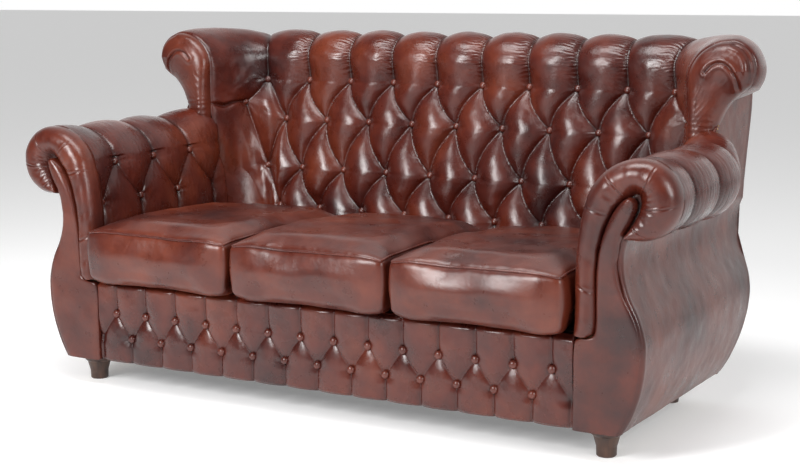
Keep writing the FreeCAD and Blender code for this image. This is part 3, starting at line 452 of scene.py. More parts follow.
def cloth_material(name, colour, scale, strength):
    material, tree, shader = new_material(name)
    where = add(tree, "ShaderNodeTexCoord").outputs["Object"]
    weave = None
    for turn in (0.0, math.pi / 2):
        wave = add(tree, "ShaderNodeTexWave")
        wave.inputs["Scale"].default_value = scale
        tree.links.new(mapped(tree, "Rotation", (0.0, 0.0, turn)), wave.inputs["Vector"])
        fine = wave.outputs["Fac"]
        weave = fine if weave is None else mix(tree, 0.5, weave, fine, "ADD")
    pale = tuple(channel * 1.25 for channel in colour)
    patches = ramp(tree, noise(tree, where, 9.0), (0.3, colour), (0.7, pale))
    tree.links.new(patches, shader.inputs["Base Color"])
    shader.inputs["Roughness"].default_value = 0.9
    bumps(tree, shader, (weave, strength, 0.0006))
    return material


def metal_material(name, colour, gloss):
    material, tree, shader = new_material(name)
    where = add(tree, "ShaderNodeTexCoord").outputs["Object"]
    spots = noise(tree, where, 160.0, 3.0)
    pale = tuple(min(channel * 1.5, 1.0) for channel in colour)
    tree.links.new(ramp(tree, spots, (0.35, colour), (0.7, pale)), shader.inputs["Base Color"])
    tree.links.new(level(tree, spots, 0.3, 0.7, gloss, gloss + 0.2), shader.inputs["Roughness"])
    shader.inputs["Metallic"].default_value = 1.0
    bumps(tree, shader, (spots, 0.2, 0.0004))
    return material


TURNED = wood_material("turned_wood", (0.028, 0.012, 0.008), (0.075, 0.034, 0.02), 0.3, 60.0)
NAIL = metal_material("nail", (0.28, 0.17, 0.09), 0.32)
NODE_MATERIALS = {
    "turned_wood": TURNED,
    "frame_wood": wood_material("frame_wood", (0.33, 0.2, 0.1), (0.55, 0.38, 0.22), 0.6, 30.0),
    "webbing": cloth_material("webbing", (0.4, 0.3, 0.18), 300.0, 0.5),
    "platform_cloth": cloth_material("platform_cloth", (0.07, 0.04, 0.03), 500.0, 0.4),
    "black_cloth": cloth_material("black_cloth", (0.012, 0.012, 0.013), 600.0, 0.4),
    "foam": cloth_material("foam", (0.7, 0.65, 0.5), 200.0, 0.3),
    "steel": metal_material("steel", (0.5, 0.5, 0.5), 0.35),
    # Frame nodes have no fold attribute, so the leather materials give them their darkest painted shade.
    "leather": SMOOTH,
    "button_leather": BUTTON,
}


def dress_nodes():
    """Give every node of the frame that stays in view its own procedural material."""
    for entry in frame["record"]["subparts"]:
        node = frame["nodes"][entry["node"]]
        for place in node.material_slots:
            place.material = NODE_MATERIALS[entry["material_slot"]]


dress_nodes()


# Deep buttoning

def tufted(column, row, last_row, edge=0.25, power=0.45, flute=0.55):
    """Height share of the leather: 0 at the buttons, 1 on the crowns.

    Buttons stand at half columns in the even rows and at whole columns in the odd rows.
    Above the first row and below the last one, straight flutes go on from the buttons.
    """
    held = np.clip(row, 0, last_row)
    across = np.abs(np.sin(np.pi * (column - 0.5 + held / 2)))
    down = np.abs(np.sin(np.pi * (column - 0.5 - held / 2)))
    share = edge * (across ** 0.65 + down ** 0.65) + (1 - 2 * edge) * (across * down) ** power
    above = np.abs(np.sin(np.pi * (column - 0.5))) ** flute
    below = np.abs(np.sin(np.pi * (column - 0.5 - last_row / 2))) ** flute
    share = share + (above - share) * smooth(-row / 0.5)
    return share + (below - share) * smooth((row - last_row) / 0.4)


def pleat_lip(column, row, last_row, pitch):
    """Thin raised edge beside the folds that run down to the right, where the leather laps over."""
    held = np.clip(row, 0, last_row)
    fold = column - 0.5 - held / 2
    aside = (fold - np.round(fold)) * pitch * 0.85
    along = np.abs(np.sin(np.pi * (column - 0.5 + held / 2)))
    inside = smooth((row + 0.05) / 0.1) * smooth((last_row + 0.05 - row) / 0.1)
    return bell(aside - 0.0055, 0.0035) * along ** 0.5 * inside


def button_creases(column, row, spots, pitch, row_pitch, seed):
    """Short creases that spread from each button and a longer one to its left, in metres."""
    rng = np.random.default_rng(seed)
    total = np.zeros(np.broadcast(column, row).shape)
    for spot_column, spot_row in spots:
        x = (column - spot_column) * pitch
        y = (row - spot_row) * row_pitch
        away = np.hypot(x, y)
        turn = np.arctan2(y, x)
        count = rng.integers(7, 12)
        phase, second = rng.uniform(0, 2 * math.pi, 2)
        fan = np.cos(count * turn + phase) + 0.6 * np.cos((count + 4) * turn + second)
        total += 0.0011 * fan * np.exp(-away / 0.024) * smooth((away - 0.006) / 0.01)
        wander = 0.004 * np.sin(x / 0.021 + phase)
        left = smooth(-x / 0.012) * np.exp(-np.abs(x) / 0.045)
        total -= 0.0012 * bell(y - wander, 0.0035) * left
        total += 0.0007 * bell(y - wander - 0.008, 0.004) * left
    return total


# Inside back and wings, one sheet of leather from wing to wing

FRONT_STEPS = 140
BRIDGE_STEPS = 14
ROLL_STEPS = 170
ROW_HEIGHT = 0.14


def back_rows(column):
    rise = np.clip(np.abs(column) - 4, 0, 1) * CREASE_RISE
    return ROW_ONE, ROW_TWO + rise, ROW_THREE, ROW_FOUR


def turn_at(distance):
    """How far the plan line of the back has turned at a distance along it, in radians."""
    return np.maximum(0.0, np.abs(distance) - CORNER_START) / CORNER_RADIUS


def rake_at(turn):
    return BACK_RAKE * math.cos(min(RAKE_FADE * turn, math.pi / 2)) ** 2


def back_station(distance):
    """Valley line, crown line and row numbers of the back at a distance along its plan line."""
    turn = turn_at(distance)
    corner = turn / (math.pi / 2)
    rake = rake_at(turn)
    tuft = BACK_TUFT * (1 - 0.2 * corner)
    one, two, three, four = back_rows(distance / BACK_PITCH)
    heights = np.linspace(PAD_BOTTOM, one, FRONT_STEPS)
    last = 3 + (four - PAD_BOTTOM) / (three - four)
    rows = np.interp(heights, [PAD_BOTTOM, four, three, two, one], [last, 3, 2, 1, 0])
    plane = rake * (heights - one)
    face_valley = pairs(plane, heights)
    face_crown = pairs(plane - tuft, heights)

    out = ROLL_OUT + corner * (WING_ROLL_OUT - ROLL_OUT)
    top = BACK_TOP + corner * (WING_TOP - BACK_TOP)
    front_reach = out + tuft
    rear_reach = ROLL_RADIUS + corner * (WING_ROLL_RADIUS - ROLL_RADIUS)
    turns = np.linspace(math.pi, math.radians(-70 + 40 * corner), ROLL_STEPS)
    reach = np.where(turns > math.pi / 2, front_reach, rear_reach)
    roll = pairs(out + reach * np.cos(turns), top - reach + reach * np.sin(turns))
    bridge = face_crown[-1] + (roll[0] - face_crown[-1]) * np.linspace(0, 1, BRIDGE_STEPS + 2)[1:-1, None]
    over = np.concatenate([bridge, roll])
    along = np.gradient(over, axis=0)
    inward = pairs(along[:, 1], -along[:, 0])
    inward /= np.linalg.norm(inward, axis=1)[:, None]
    travelled = run_length(over)
    depth = tuft + (ROLL_GROOVE - tuft) * smooth(travelled / 0.1)
    crown = np.concatenate([face_crown, over])
    valley = np.concatenate([face_valley, over + inward * depth[:, None]])
    above = run_length(crown[FRONT_STEPS - 1:])[1:]
    rows = np.concatenate([rows, -above / ROW_HEIGHT])
    return valley, crown, rows


def plan_points(distance, out, up):
    """Points of the back from a distance along its plan line, then out and up."""
    side = np.sign(distance)
    turn = turn_at(distance)
    straight = np.minimum(np.abs(distance), CORNER_START)
    reach = CORNER_RADIUS + out
    x = side * (straight + reach * np.sin(turn))
    y = WING_Y + reach * np.cos(turn)
    return np.stack([x, y, up], axis=-1)


BACK_BUTTONS = []
for back_row, first, last in ((0, 0.5, 4.5), (1, 0.0, 5.0), (2, 0.5, 4.5), (3, 0.0, 4.0)):
    for back_column in np.arange(-last, last + 0.1, 1.0):
        BACK_BUTTONS.append((float(back_column), back_row))
END_COLUMN = BACK_LENGTH / BACK_PITCH


FRONT_ROUND = 0.075
FRONT_LEFT = 0.3  # share of the padding's height left at the wing's front edge


def front_edge(column):
    """The padding falls away round the front edge of a wing."""
    near = np.clip(1 - (END_COLUMN - column) * BACK_PITCH / FRONT_ROUND, 0, 1)
    return 1 - (1 - FRONT_LEFT) * (1 - np.sqrt(1 - near ** 2))


def bent(column, row):
    """Columns as the folds of the back see them: between two rows the folds bend to the left."""
    return column + 0.11 * np.abs(np.sin(np.pi * np.clip(row, 0, 3))) * smooth((4.6 - np.abs(column)) / 0.8)


def last_column(row):
    """Column of the outermost button, or between two rows the line from one to the next."""
    return np.interp(row, [-9, 0, 1, 2, 3, 9], [4.5, 4.5, 5.0, 4.5, 4.0, 4.0])


def back_share(column, row):
    """Height share over the back: diamonds and flutes, then the plain leather of the wings."""
    share = tufted(bent(column, row), row, 3)
    border = last_column(row)
    beyond = np.abs(column) - border
    width = END_COLUMN - border
    along = 0.3 * np.abs(np.sin(np.pi * np.clip(row, 0, 3))) ** 0.8
    rise = np.sin(np.pi / 2 * np.clip(beyond / (0.55 * width), 0, 1)) ** 0.6
    share = np.where(beyond > 0, along + (1 - along) * rise, share)
    wing = smooth((np.abs(column) - 4.95) / 0.12)
    crease = bell((row - 1) * ROW_HEIGHT + 0.006 * np.sin(7 * column), 0.0055)
    share = share * (1 - 0.4 * crease * wing)
    low_wing = smooth((row - 1.1) / 0.5) * smooth((np.abs(column) - border - 0.1) / 0.3)
    folds = np.sin(2 * np.pi * (np.abs(column) * 1.7 + row * 0.42))
    share = share + 0.09 * low_wing * folds
    return share * front_edge(np.abs(column))


def groove_gathers(column, row):
    """Short ridges across the top flutes, gathered along the left side of each groove."""
    aside = (np.round(column - 0.5) + 0.5 - column) * BACK_PITCH
    left = smooth(aside / 0.005) * np.exp(-np.abs(aside) / 0.024)
    front = smooth((-row - 0.1) / 0.15) * smooth((2.2 + row) / 0.3)
    run = row * ROW_HEIGHT
    waves = np.sin(2 * np.pi * run / 0.0125 + 3 * lumps(run, column * 0.3, 0.03, 11))
    inner = (column > -4.5) & (column < 4.7)
    return 0.0016 * waves * left * front * inner


def with_rear(flat, share, rear):
    """Sections closed by the same few hidden points at their rear."""
    shape = (len(flat), len(rear), 2)
    return (np.concatenate([flat, np.broadcast_to(np.array(rear), shape)], axis=1),
            np.concatenate([share, np.ones(shape[:2])], axis=1))


def sections(station, stops):
    """Valley points, crown points and row numbers at all stops, and the unit vectors between them."""
    valley, crown, row = (np.array(values) for values in zip(*[station(stop) for stop in stops]))
    outward = crown - valley
    outward /= np.linalg.norm(outward, axis=2)[..., None]
    return valley, crown, row, outward


def back_leather():
    stations = np.linspace(-BACK_LENGTH, BACK_LENGTH, 500)
    valley, crown, row, outward = sections(back_station, stations)
    column = (stations / BACK_PITCH)[:, None]
    share = back_share(column, row)
    detail = button_creases(column, row, BACK_BUTTONS, BACK_PITCH, ROW_HEIGHT, 5)
    detail += groove_gathers(column, row)
    inside = smooth((last_column(row) - np.abs(column)) / 0.1)
    detail += 0.0026 * pleat_lip(bent(column, row), row, 3, BACK_PITCH) * inside
    run = stations[:, None]
    height = -row * ROW_HEIGHT
    detail += uneven("back", (run, height), (run, height))
    flat = valley + (crown - valley) * share[..., None] + outward * detail[..., None]
    flat, share = with_rear(flat, share, [[0.07, 0.83], [0.03, 0.80], [-0.06, 0.45], [-0.075, PAD_BOTTOM]])
    points = plan_points(run, flat[..., 0], flat[..., 1])
    # The height share is also the fold value, so the valleys between tufts get painted shade.
    item = grid_piece("back_leather", points, share, TUFTED, "back_pad", "wing_pad_left", "wing_pad_right")


back_leather()


# Arms

def inner_face(height):
    """Sideways place of an arm's inner face, upright up to the neck and then leaning outward."""
    rise = SHOULDER_Z - NECK_Z
    radius = (rise ** 2 + SHOULDER_OUT ** 2) / (2 * SHOULDER_OUT)
    above = np.maximum(0.0, height - NECK_Z)
    return SEAT_HALF + radius - np.sqrt(radius ** 2 - above ** 2)


ARM_FACE_STEPS = 95
ARM_ARC_STEPS = 42
ARM_ROLL_STEPS = 84


def arm_roll(distance):
    """Middle, height and radius of the arm roll at a distance behind the facing.

    Near the wing the roll moves in and up and gets thinner.
    """
    narrow = max(0.0, 1 - (WING_Y - FACING_Y - distance) / 0.205) ** 2
    return SEAT_HALF + SCROLL_OUT - 0.055 * narrow, SCROLL_Z + 0.033 * narrow, SCROLL_RADIUS - 0.04 * narrow


def shoulder_arc(middle, top):
    """Radius of the arc from an arm's shoulder to the top of its roll, and the angle that it spans."""
    reach = middle - SEAT_HALF - SHOULDER_OUT
    rise = top - SHOULDER_Z
    radius = (reach ** 2 + rise ** 2) / (2 * rise)
    span = math.asin(reach / radius)
    return radius, math.pi - span if rise > radius else span


def arm_station(distance):
    """Valley line, crown line and row numbers of an arm at a distance behind the facing."""
    middle, level_z, radius = arm_roll(distance)
    heights = np.linspace(PAD_BOTTOM, SHOULDER_Z, ARM_FACE_STEPS)
    crown = [pairs(inner_face(heights), heights)]
    valley = [crown[0] + [ARM_TUFT, 0.0]]
    last = 1 + (ARM_ROW_LOW - PAD_BOTTOM) / (ARM_ROW_HIGH - ARM_ROW_LOW)
    rows = np.interp(heights, [PAD_BOTTOM, ARM_ROW_LOW, ARM_ROW_HIGH, 1.0], [last, 1, 0, -3.19])
    big, spread = shoulder_arc(middle, level_z + radius)
    turns = math.pi / 2 + spread * np.linspace(1, 0, ARM_ARC_STEPS + 1)[1:]
    circle = pairs(np.cos(turns), np.sin(turns))
    centre = np.array([middle, level_z + radius - big])
    depth = ARM_TUFT * 0.8
    crown.append(centre + circle * big)
    valley.append(centre + circle * (big - depth))
    turns = np.linspace(math.pi / 2, math.radians(-110), ARM_ROLL_STEPS + 1)[1:]
    circle = pairs(np.cos(turns), np.sin(turns))
    centre = np.array([middle, level_z])
    shallow = depth * np.interp(turns, [-1.9, math.pi / 2], [0.85, 1.0])[:, None]
    crown.append(centre + circle * radius)
    valley.append(centre + circle * (radius - shallow))
    crown = np.concatenate(crown)
    above = run_length(crown[ARM_FACE_STEPS - 1:])[1:]
    rows = np.concatenate([rows, rows[-1] - above / ARM_ROW_STEP])
    return np.concatenate(valley), crown, rows


ARM_BUTTONS = [(0.5, 0), (1.5, 0), (2.5, 0), (0.0, 1), (1.0, 1), (2.0, 1)]


def arm_leather(side, name):
    stations = np.linspace(FRAME_Y - FACING_Y - 0.004, WING_Y - FACING_Y + 0.012, 178)
    valley, crown, row, outward = sections(arm_station, stations)
    column = ((stations - ARM_FIRST) / ARM_PITCH + 0.5)[:, None]
    leaning = column - 0.07 * side * np.abs(np.sin(np.pi * np.clip(row, 0, 1)))
    share = tufted(leaning, row, 1, edge=0.3, flute=0.5)
    spots = [(button * side, line) for button, line in ARM_BUTTONS]
    detail = button_creases(column * side, row, spots, ARM_PITCH, ARM_ROW_STEP, 31)
    detail += 0.0018 * pleat_lip(leaning, row, 1, ARM_PITCH)
    aside = (np.round(column - 0.5) + 0.5 - column) * ARM_PITCH
    run = row * ARM_ROW_STEP
    waves = np.sin(2 * np.pi * run / 0.0085 + 2 * lumps(run, column, 0.03, 17))
    beside = smooth(np.abs(aside) / 0.004) * np.exp(-np.abs(aside) / 0.012)
    detail += 0.0018 * waves * beside * smooth((-row - 0.3) / 0.2)
    detail += uneven("arm", (stations[:, None] + side, run), (column, run))
    flat = valley + (crown - valley) * share[..., None] + outward * detail[..., None]
    near_wing = smooth((stations[:, None] - 0.50) / 0.13)
    flat[..., 1] += 0.018 * near_wing * smooth((flat[..., 1] - 0.66) / 0.08)
    rear = [[SEAT_HALF + 0.12, 0.6], [SEAT_HALF + 0.06, 0.6], [SEAT_HALF + 0.05, PAD_BOTTOM]]
    flat, share = with_rear(flat, share, rear)
    y = np.broadcast_to((stations + FACING_Y)[:, None], flat.shape[:2])
    points = np.stack([flat[..., 0] * side, y, flat[..., 1]], axis=-1)
    # The height share is also the fold value, so the valleys between tufts get painted shade.
    item = grid_piece("arm_leather_" + name, points, share, TUFTED, "arm_pad_" + name)


for sign, word in SIDES:
    arm_leather(sign, word)


# Facings: a round padded roll that curls into the scroll, and the panel inside it

def upright_arc(start, end, heights):
    """Sideways places on an arc that is upright at its start."""
    side = start[0] - end[0]
    rise = end[1] - start[1]
    radius = (side ** 2 + rise ** 2) / (2 * abs(side))
    out = radius - np.sqrt(np.maximum(radius ** 2 - (heights - start[1]) ** 2, 0.0))
    return start[0] - math.copysign(1, side) * out


TURN = ((BULGE[0] + WAIST[0]) / 2, (BULGE[1] + WAIST[1]) / 2)


def edge_x(heights):
    """Outer edge of a facing, the S-shaped line from the foot to the scroll's lower tip."""
    low_part = upright_arc(BULGE, (FOOT_X, BASE_Z), heights)
    belly = upright_arc(BULGE, TURN, heights)
    hollow = upright_arc(WAIST, TURN, heights)
    neck = upright_arc(WAIST, TIP, np.minimum(heights, TIP[1]))
    x = np.where(heights < BULGE[1], low_part, belly)
    x = np.where(heights > TURN[1], hollow, x)
    return np.where(heights > WAIST[1], neck, x)


def circle_run(centre, radius, start, end, count):
    turns = np.radians(np.linspace(start, end, count))
    return pairs(centre[0] + radius * np.cos(turns), centre[1] + radius * np.sin(turns))


SCROLL = (SEAT_HALF + SCROLL_OUT, SCROLL_Z)
ROLL_EDGE = SEAT_HALF + ROLL_WIDTH
# Line between the roll and its panel, from the roll's foot up round the hollow, and how far along
# the roll's outer line each of its points belongs
ROLL_INNER = np.array([
    [SEAT_HALF + 0.034, ROLL_FOOT_Z], [SEAT_HALF + 0.055, 0.322], [ROLL_EDGE, 0.345], [ROLL_EDGE, 0.40],
    [ROLL_EDGE, NECK_Z], [0.8255, 0.535], [0.841, 0.59], [0.862, 0.634], [0.886, 0.658], [0.904, 0.6665],
    [0.919, 0.664], [0.927, 0.651], [0.925, 0.633], [0.914, 0.610], [0.902, 0.588], [0.893, 0.572],
])
ROLL_MARKS = (0.0, 0.05, 0.1, 0.16, 0.22, 0.29, 0.36, 0.42, 0.49, 0.56, 0.66, 0.76, 0.85, 0.92, 0.97, 1.0)
# Inner line of the panel from its foot, and the upper end of its outer line inside the hollow
PANEL_INNER = (
    (SEAT_HALF, BASE_Z), (SEAT_HALF, 0.2), (SEAT_HALF, 0.298), (SEAT_HALF + 0.01, 0.308),
    (SEAT_HALF + 0.034, 0.309), (SEAT_HALF + 0.055, 0.318), (ROLL_EDGE - 0.001, 0.345), (ROLL_EDGE, 0.40),
    (ROLL_EDGE, NECK_Z), (0.8255, 0.535), (0.841, 0.59), (0.862, 0.634), (0.884, 0.658), (0.902, 0.667),
)
PANEL_TIP = ((0.881, 0.552), (0.893, 0.58), (0.909, 0.607), (0.9205, 0.634), (0.921, 0.652), (0.913, 0.664))


def facing_roll_lines(count=330):
    """Outer and inner line of the roll, from its foot up and round the scroll."""
    heights = np.linspace(ROLL_FOOT_Z, SHOULDER_Z, 60)
    outer = [pairs(inner_face(heights), heights)]
    big, spread = shoulder_arc(SCROLL[0], SCROLL_Z + SCROLL_RADIUS)
    above = (SCROLL[0], SCROLL_Z + SCROLL_RADIUS - big)
    outer.append(circle_run(above, big, 90 + math.degrees(spread), 90, 40)[1:])
    outer.append(circle_run(SCROLL, SCROLL_RADIUS, 90, -90, 80)[1:])
    outer.append(np.array([[TIP[0], TIP[1] + 0.002]]))
    outer = np.concatenate(outer)
    stops = np.linspace(0, 1, count)
    outer_line = line_at(stops, share_along(outer), outer)
    inner_line = line_at(stops, ROLL_MARKS, ROLL_INNER)
    kernel = np.hanning(13)
    kernel /= kernel.sum()
    padded = np.pad(inner_line, ((6, 6), (0, 0)), mode="edge")
    inner_line = np.stack([np.convolve(padded[:, axis], kernel, mode="valid") for axis in (0, 1)], axis=1)
    return stops, outer_line, inner_line


ROLL_SEAMS = (0.17, 0.385, 0.5, 0.665, 0.80, 0.93)  # shares of the way along a facing roll
ROLL_RUN = 1.02
ROLL_DEPTH = 0.064
HOLLOW = np.array([0.917, 0.668])


def facing_roll(side, name):
    stops, outer, inner = facing_roll_lines()
    turns = np.linspace(math.pi * 1.0, 0.0, 40)
    across = 0.5 + 0.5 * np.cos(turns)
    outer_half = turns > math.pi / 2
    edge_depth = np.where(outer_half, 0.012, 0.030)
    forward = edge_depth + (ROLL_DEPTH - edge_depth) * np.sin(turns) ** 0.8
    # Painted shade: a little darker at the roll's outer edge, dark down into the groove by the panel, and
    # fully dark on the hidden points at the end.
    fold = np.where(outer_half, 0.7 + 0.3 * np.sin(turns), np.sin(turns) ** 0.7)
    across = np.concatenate([[0.0], across, [1.0, 0.6, 0.3]])
    forward = np.concatenate([[0.0], forward, [0.012, 0.006, 0.003]])
    fold = np.concatenate([[0.7], fold, [0.0, 0.0, 0.0]])
    flat = outer[:, None, :] + (inner - outer)[:, None, :] * across[None, :, None]
    depth = np.broadcast_to(forward, flat.shape[:2]).copy()
    share = np.broadcast_to(fold, flat.shape[:2]).copy()
    front = np.clip(forward - 0.02, 0, None) / 0.044
    for seam in ROLL_SEAMS:
        slant = (across - 0.5) * 0.025
        away = (stops[:, None] - seam - slant[None, :]) * ROLL_RUN
        depth -= 0.0022 * bell(away, 0.0026) * front
        depth += 0.0008 * (bell(away - 0.006, 0.004) + bell(away + 0.006, 0.004)) * front
        # Painted shade along each seam.
        share *= 1 - 0.55 * bell(away, 0.0026) * front
    curl = smooth((stops[:, None] - 0.34) / 0.1) * smooth((across[None, :] - 0.35) / 0.5)
    rays = np.sin(stops[:, None] * 190 + 2.5 * lumps(stops[:, None] * 3, across[None, :], 0.2, 51))
    depth += 0.0006 * rays * curl * front
    sink = bell(np.linalg.norm(flat - HOLLOW, axis=2), 0.024)
    depth -= 0.028 * sink * front
    # Painted shade in the hollow inside the scroll.
    share *= 1 - 0.85 * sink
    depth += 0.0012 * lumps(stops[:, None] * ROLL_RUN + side, across[None, :] * 0.08, 0.03, 52)
    ends = smooth(np.minimum(stops, 1 - stops) / 0.012)[:, None]
    depth = depth * (0.4 + 0.6 * ends)
    points = np.stack([flat[..., 0] * side, FRAME_Y - depth, flat[..., 1]], axis=-1)
    item = grid_piece("facing_roll_leather_" + name, points, share, SMOOTH, "facing_roll_" + name)


def facing_panel(side, name):
    count = 220
    left = rounded(PANEL_INNER, count)
    heights = np.linspace(BASE_Z, WAIST[1], 90)
    right = pairs(edge_x(heights), heights)
    right = np.concatenate([right, PANEL_TIP])
    stops = np.linspace(0, 1, count)
    matched = np.interp(stops, [0, 0.3, 0.42, 0.5, 0.75, 1], [0, 0.34, 0.43, 0.5, 0.75, 1])
    left = line_at(stops, share_along(left), left)
    right = line_at(matched, share_along(right), right)
    across = 0.5 - 0.5 * np.cos(np.linspace(0, math.pi, 36))
    tipward = smooth((stops - 0.45) / 0.5)[:, None]
    power = 6 - 3.6 * tipward
    dome = (1 - np.abs(2 * across[None, :] - 1) ** power) ** (1 / power)
    proud = 0.004 + 0.016 * tipward
    depth = dome * (proud + 0.014) - 0.014
    flat = left[:, None, :] + (right - left)[:, None, :] * across[None, :, None]
    depth += 0.0014 * lumps(flat[..., 0] + side, flat[..., 1], 0.05, 61)
    depth *= 1 - 0.5 * smooth((stops - 0.985) / 0.015)[:, None]
    y = FACING_Y - depth
    rear = np.full((count, 2), FACING_Y + 0.018)
    flat = np.concatenate([flat, right[:, None, :], left[:, None, :]], axis=1)
    y = np.concatenate([y, rear], axis=1)
    # Painted shade: darker towards the panel's edges and dark on its hidden rear.
    share = np.concatenate([np.clip(dome, 0, 1) ** 0.5, np.zeros((count, 2))], axis=1)
    points = np.stack([flat[..., 0] * side, y, flat[..., 1]], axis=-1)
    item = grid_piece("facing_panel_leather_" + name, points, share, SMOOTH, "facing_panel_" + name)


def scroll_lining(side, name):
    """Leather lining seen in the narrow gap between a scroll's roll and its panel, darkened all over as
    painted shade.
    """
    turns = np.linspace(0, 2 * math.pi, 48, endpoint=False)
    rings = np.linspace(0.02, 1, 14)
    flat_x = 0.908 + 0.052 * np.cos(turns)[None, :] * rings[:, None]
    flat_z = 0.622 + 0.062 * np.sin(turns)[None, :] * rings[:, None]
    y = FACING_Y + 0.014 + 0.001 * lumps(flat_x, flat_z, 0.02, 54)
    points = np.stack([flat_x * side, y, flat_z], axis=-1)
    rear = points[::-1] + np.array([0.0, 0.004, 0.0])
    points = np.concatenate([points, rear])
    grid_piece("scroll_lining_" + name, points, np.full(points.shape[:2], 0.1), SMOOTH)


for sign, word in SIDES:
    facing_roll(sign, word)
    facing_panel(sign, word)
    scroll_lining(sign, word)


# Front of each wing: a gathered padded end that curls round the wing roll

WING_SEAMS = (
    ((0.866, 0.928), (0.884, 0.949), (0.911, 0.955), (0.938, 0.938), (0.953, 0.908), (0.955, 0.884)),
    ((0.935, 1.002), (0.965, 0.988), (0.984, 0.958), (0.988, 0.925), (0.980, 0.900)),
)


# Outer edge of a wing front from under its roll down to the arm, without its last point
WING_NECK = ((0.986, 0.893), (0.966, 0.878), (0.943, 0.862), (0.916, 0.832), (0.896, 0.79), (0.884, 0.75))
WING_FOOT_Z = SCROLL_Z + SCROLL_RADIUS - 0.02
# Line along which a wing front stands highest, and which shares of its outline belong to it
WING_SPINE = np.array([
    [0.836, WING_FOOT_Z], [0.838, 0.80], [0.846, 0.87], [0.872, 0.925], [0.915, 0.945], [0.95, 0.93],
])
OUTLINE_STOPS = (0.0, 0.13, 0.3, 0.5, 0.66, 0.76, 0.87, 1.0)
SPINE_STOPS = (0.0, 0.35, 0.62, 0.9, 1.0, 0.85, 0.5, 0.0)


def nearest(points, run):
    """Distance from each point to a run of points."""
    line_points = rounded(np.array(run), 60)
    away = points[..., None, :] - line_points
    return np.sqrt((away ** 2).sum(axis=-1)).min(axis=-1)


def wing_front(side, name):
    valley, crown, _ = back_station(BACK_LENGTH)
    crown = valley + (crown - valley) * FRONT_LEFT
    inner = crown[crown[:, 1] > WING_FOOT_Z] + [CORNER_START + CORNER_RADIUS, 0.0]
    stop = np.argmax((inner[:, 0] > 0.97) & (inner[:, 1] < 0.925))
    inner = inner[:stop] if stop else inner
    outline = rounded(np.concatenate([inner, WING_NECK, [[0.883, WING_FOOT_Z]]]), 260, passes=2)
    spine_stops = np.interp(share_along(outline), OUTLINE_STOPS, SPINE_STOPS)
    spine = line_at(spine_stops, share_along(WING_SPINE), WING_SPINE)
    rings = np.linspace(0, 1, 34)
    flat = outline[:, None, :] + (spine - outline)[:, None, :] * (rings ** 1.1)[None, :, None] * 0.999
    dome = np.sqrt(1 - (1 - rings) ** 2.2)
    depth = 0.040 * dome[None, :] * np.ones((len(outline), 1))
    share = np.ones(flat.shape[:2])
    for seam_line, step in zip(WING_SEAMS, (0.0035, 0.0025)):
        away = nearest(flat, seam_line)
        depth -= 0.0045 * bell(away, 0.0032)
        depth += step * bell(away - 0.010, 0.007)
        # Painted shade along each seam.
        share = share * (1 - 0.75 * bell(away, 0.003))
    foot = smooth((0.83 - flat[..., 1]) / 0.06)
    depth += 0.0008 * np.sin(flat[..., 1] * 420 + 3 * lumps(flat[..., 0], flat[..., 1], 0.03, 73)) * foot
    slant = (flat[..., 1] * 0.9 - flat[..., 0]) * 330
    fine = lumps(flat[..., 0], flat[..., 1], 0.035, 74)
    depth += 0.0002 * np.sin(slant + 4 * fine) * (0.5 + fine) * smooth(rings / 0.2)[None, :]
    depth += 0.0022 * lumps(flat[..., 0] + side, flat[..., 1], 0.035, 72) * rings[None, :]
    y = WING_Y + 0.002 - depth
    points = np.stack([flat[..., 0] * side, y, flat[..., 1]], axis=-1)
    rear = points[:, :1].copy()
    rear[..., 1] = WING_Y + 0.02
    points = np.concatenate([rear, points], axis=1).transpose(1, 0, 2)
    share = np.concatenate([share[:, :1], share], axis=1).T
    item = grid_piece("wing_front_leather_" + name, points, share, SMOOTH, "wing_front_" + name)


for sign, word in SIDES:
    wing_front(sign, word)


# Outside panels

def rear_y(heights):
    """Depth place of the rear side at some heights, its bends softened."""
    share = (heights - BASE_Z) / (REAR_TOP - BASE_Z)
    stops = [stop for stop, _ in REAR_LEAN]
    leans = [lean for _, lean in REAR_LEAN]
    soft = [np.interp(share + shift, stops, leans) for shift in (-0.06, -0.03, 0.0, 0.03, 0.06)]
    return REAR_FOOT_Y + np.mean(soft, axis=0)


PANEL_TOP = (
    (FACING_Y, 0.575), (0.05, 0.61), (0.12, 0.70), (0.152, 0.752), (0.166, 0.757), (0.179, 0.785),
    (0.202, 0.81), (0.233, 0.832), (0.282, 0.845), (0.357, 0.866), (0.9, 0.868),
)


def panel_top(y):
    """Height of an outside panel's top edge, hidden under the arm roll and free on the wing."""
    return np.interp(y, [place for place, _ in PANEL_TOP], [height for _, height in PANEL_TOP])


def hem(edge, depth, width, ridge):
    """How deep a panel's leather dips at a distance from its edge, and how open it lies there, which paints
    shade near the edge.
    """
    dip = depth * (1 - smooth(edge / width)) - 0.0012 * bell(edge - ridge, 0.004)
    return dip, 0.45 + 0.55 * smooth(edge / 0.02)


def outside_panel(side, name):
    along = np.linspace(0, 1, 150)[:, None]
    guess = FACING_Y + along * (rear_y(0.8) - FACING_Y)
    top = panel_top(guess)
    up = np.linspace(0, 1, 150)[None, :]
    heights = BASE_Z + (top - BASE_Z) * up
    y = FACING_Y + 0.001 + along * (rear_y(heights) - 0.004 - FACING_Y)
    x = edge_x(heights) + PANEL_GAP
    swell = 0.004 * np.sin(np.pi * along) * np.sin(np.pi * up)
    edge = np.minimum(np.minimum(along, 1 - along) * 0.85, up * 0.6)
    # Painted shade towards the panel's edges.
    dip, share = hem(edge, 0.005, 0.007, 0.012)
    x = x + swell + uneven("outside_panel", (y + side, heights), (y, heights)) - dip
    points = np.stack([x * side, y, heights], axis=-1)
    points, share = closed_sheet(points, share, (-0.012 * side, 0.0, 0.0))
    grid_piece("outside_panel_leather_" + name, points, share, SMOOTH, "outside_panel_" + name)


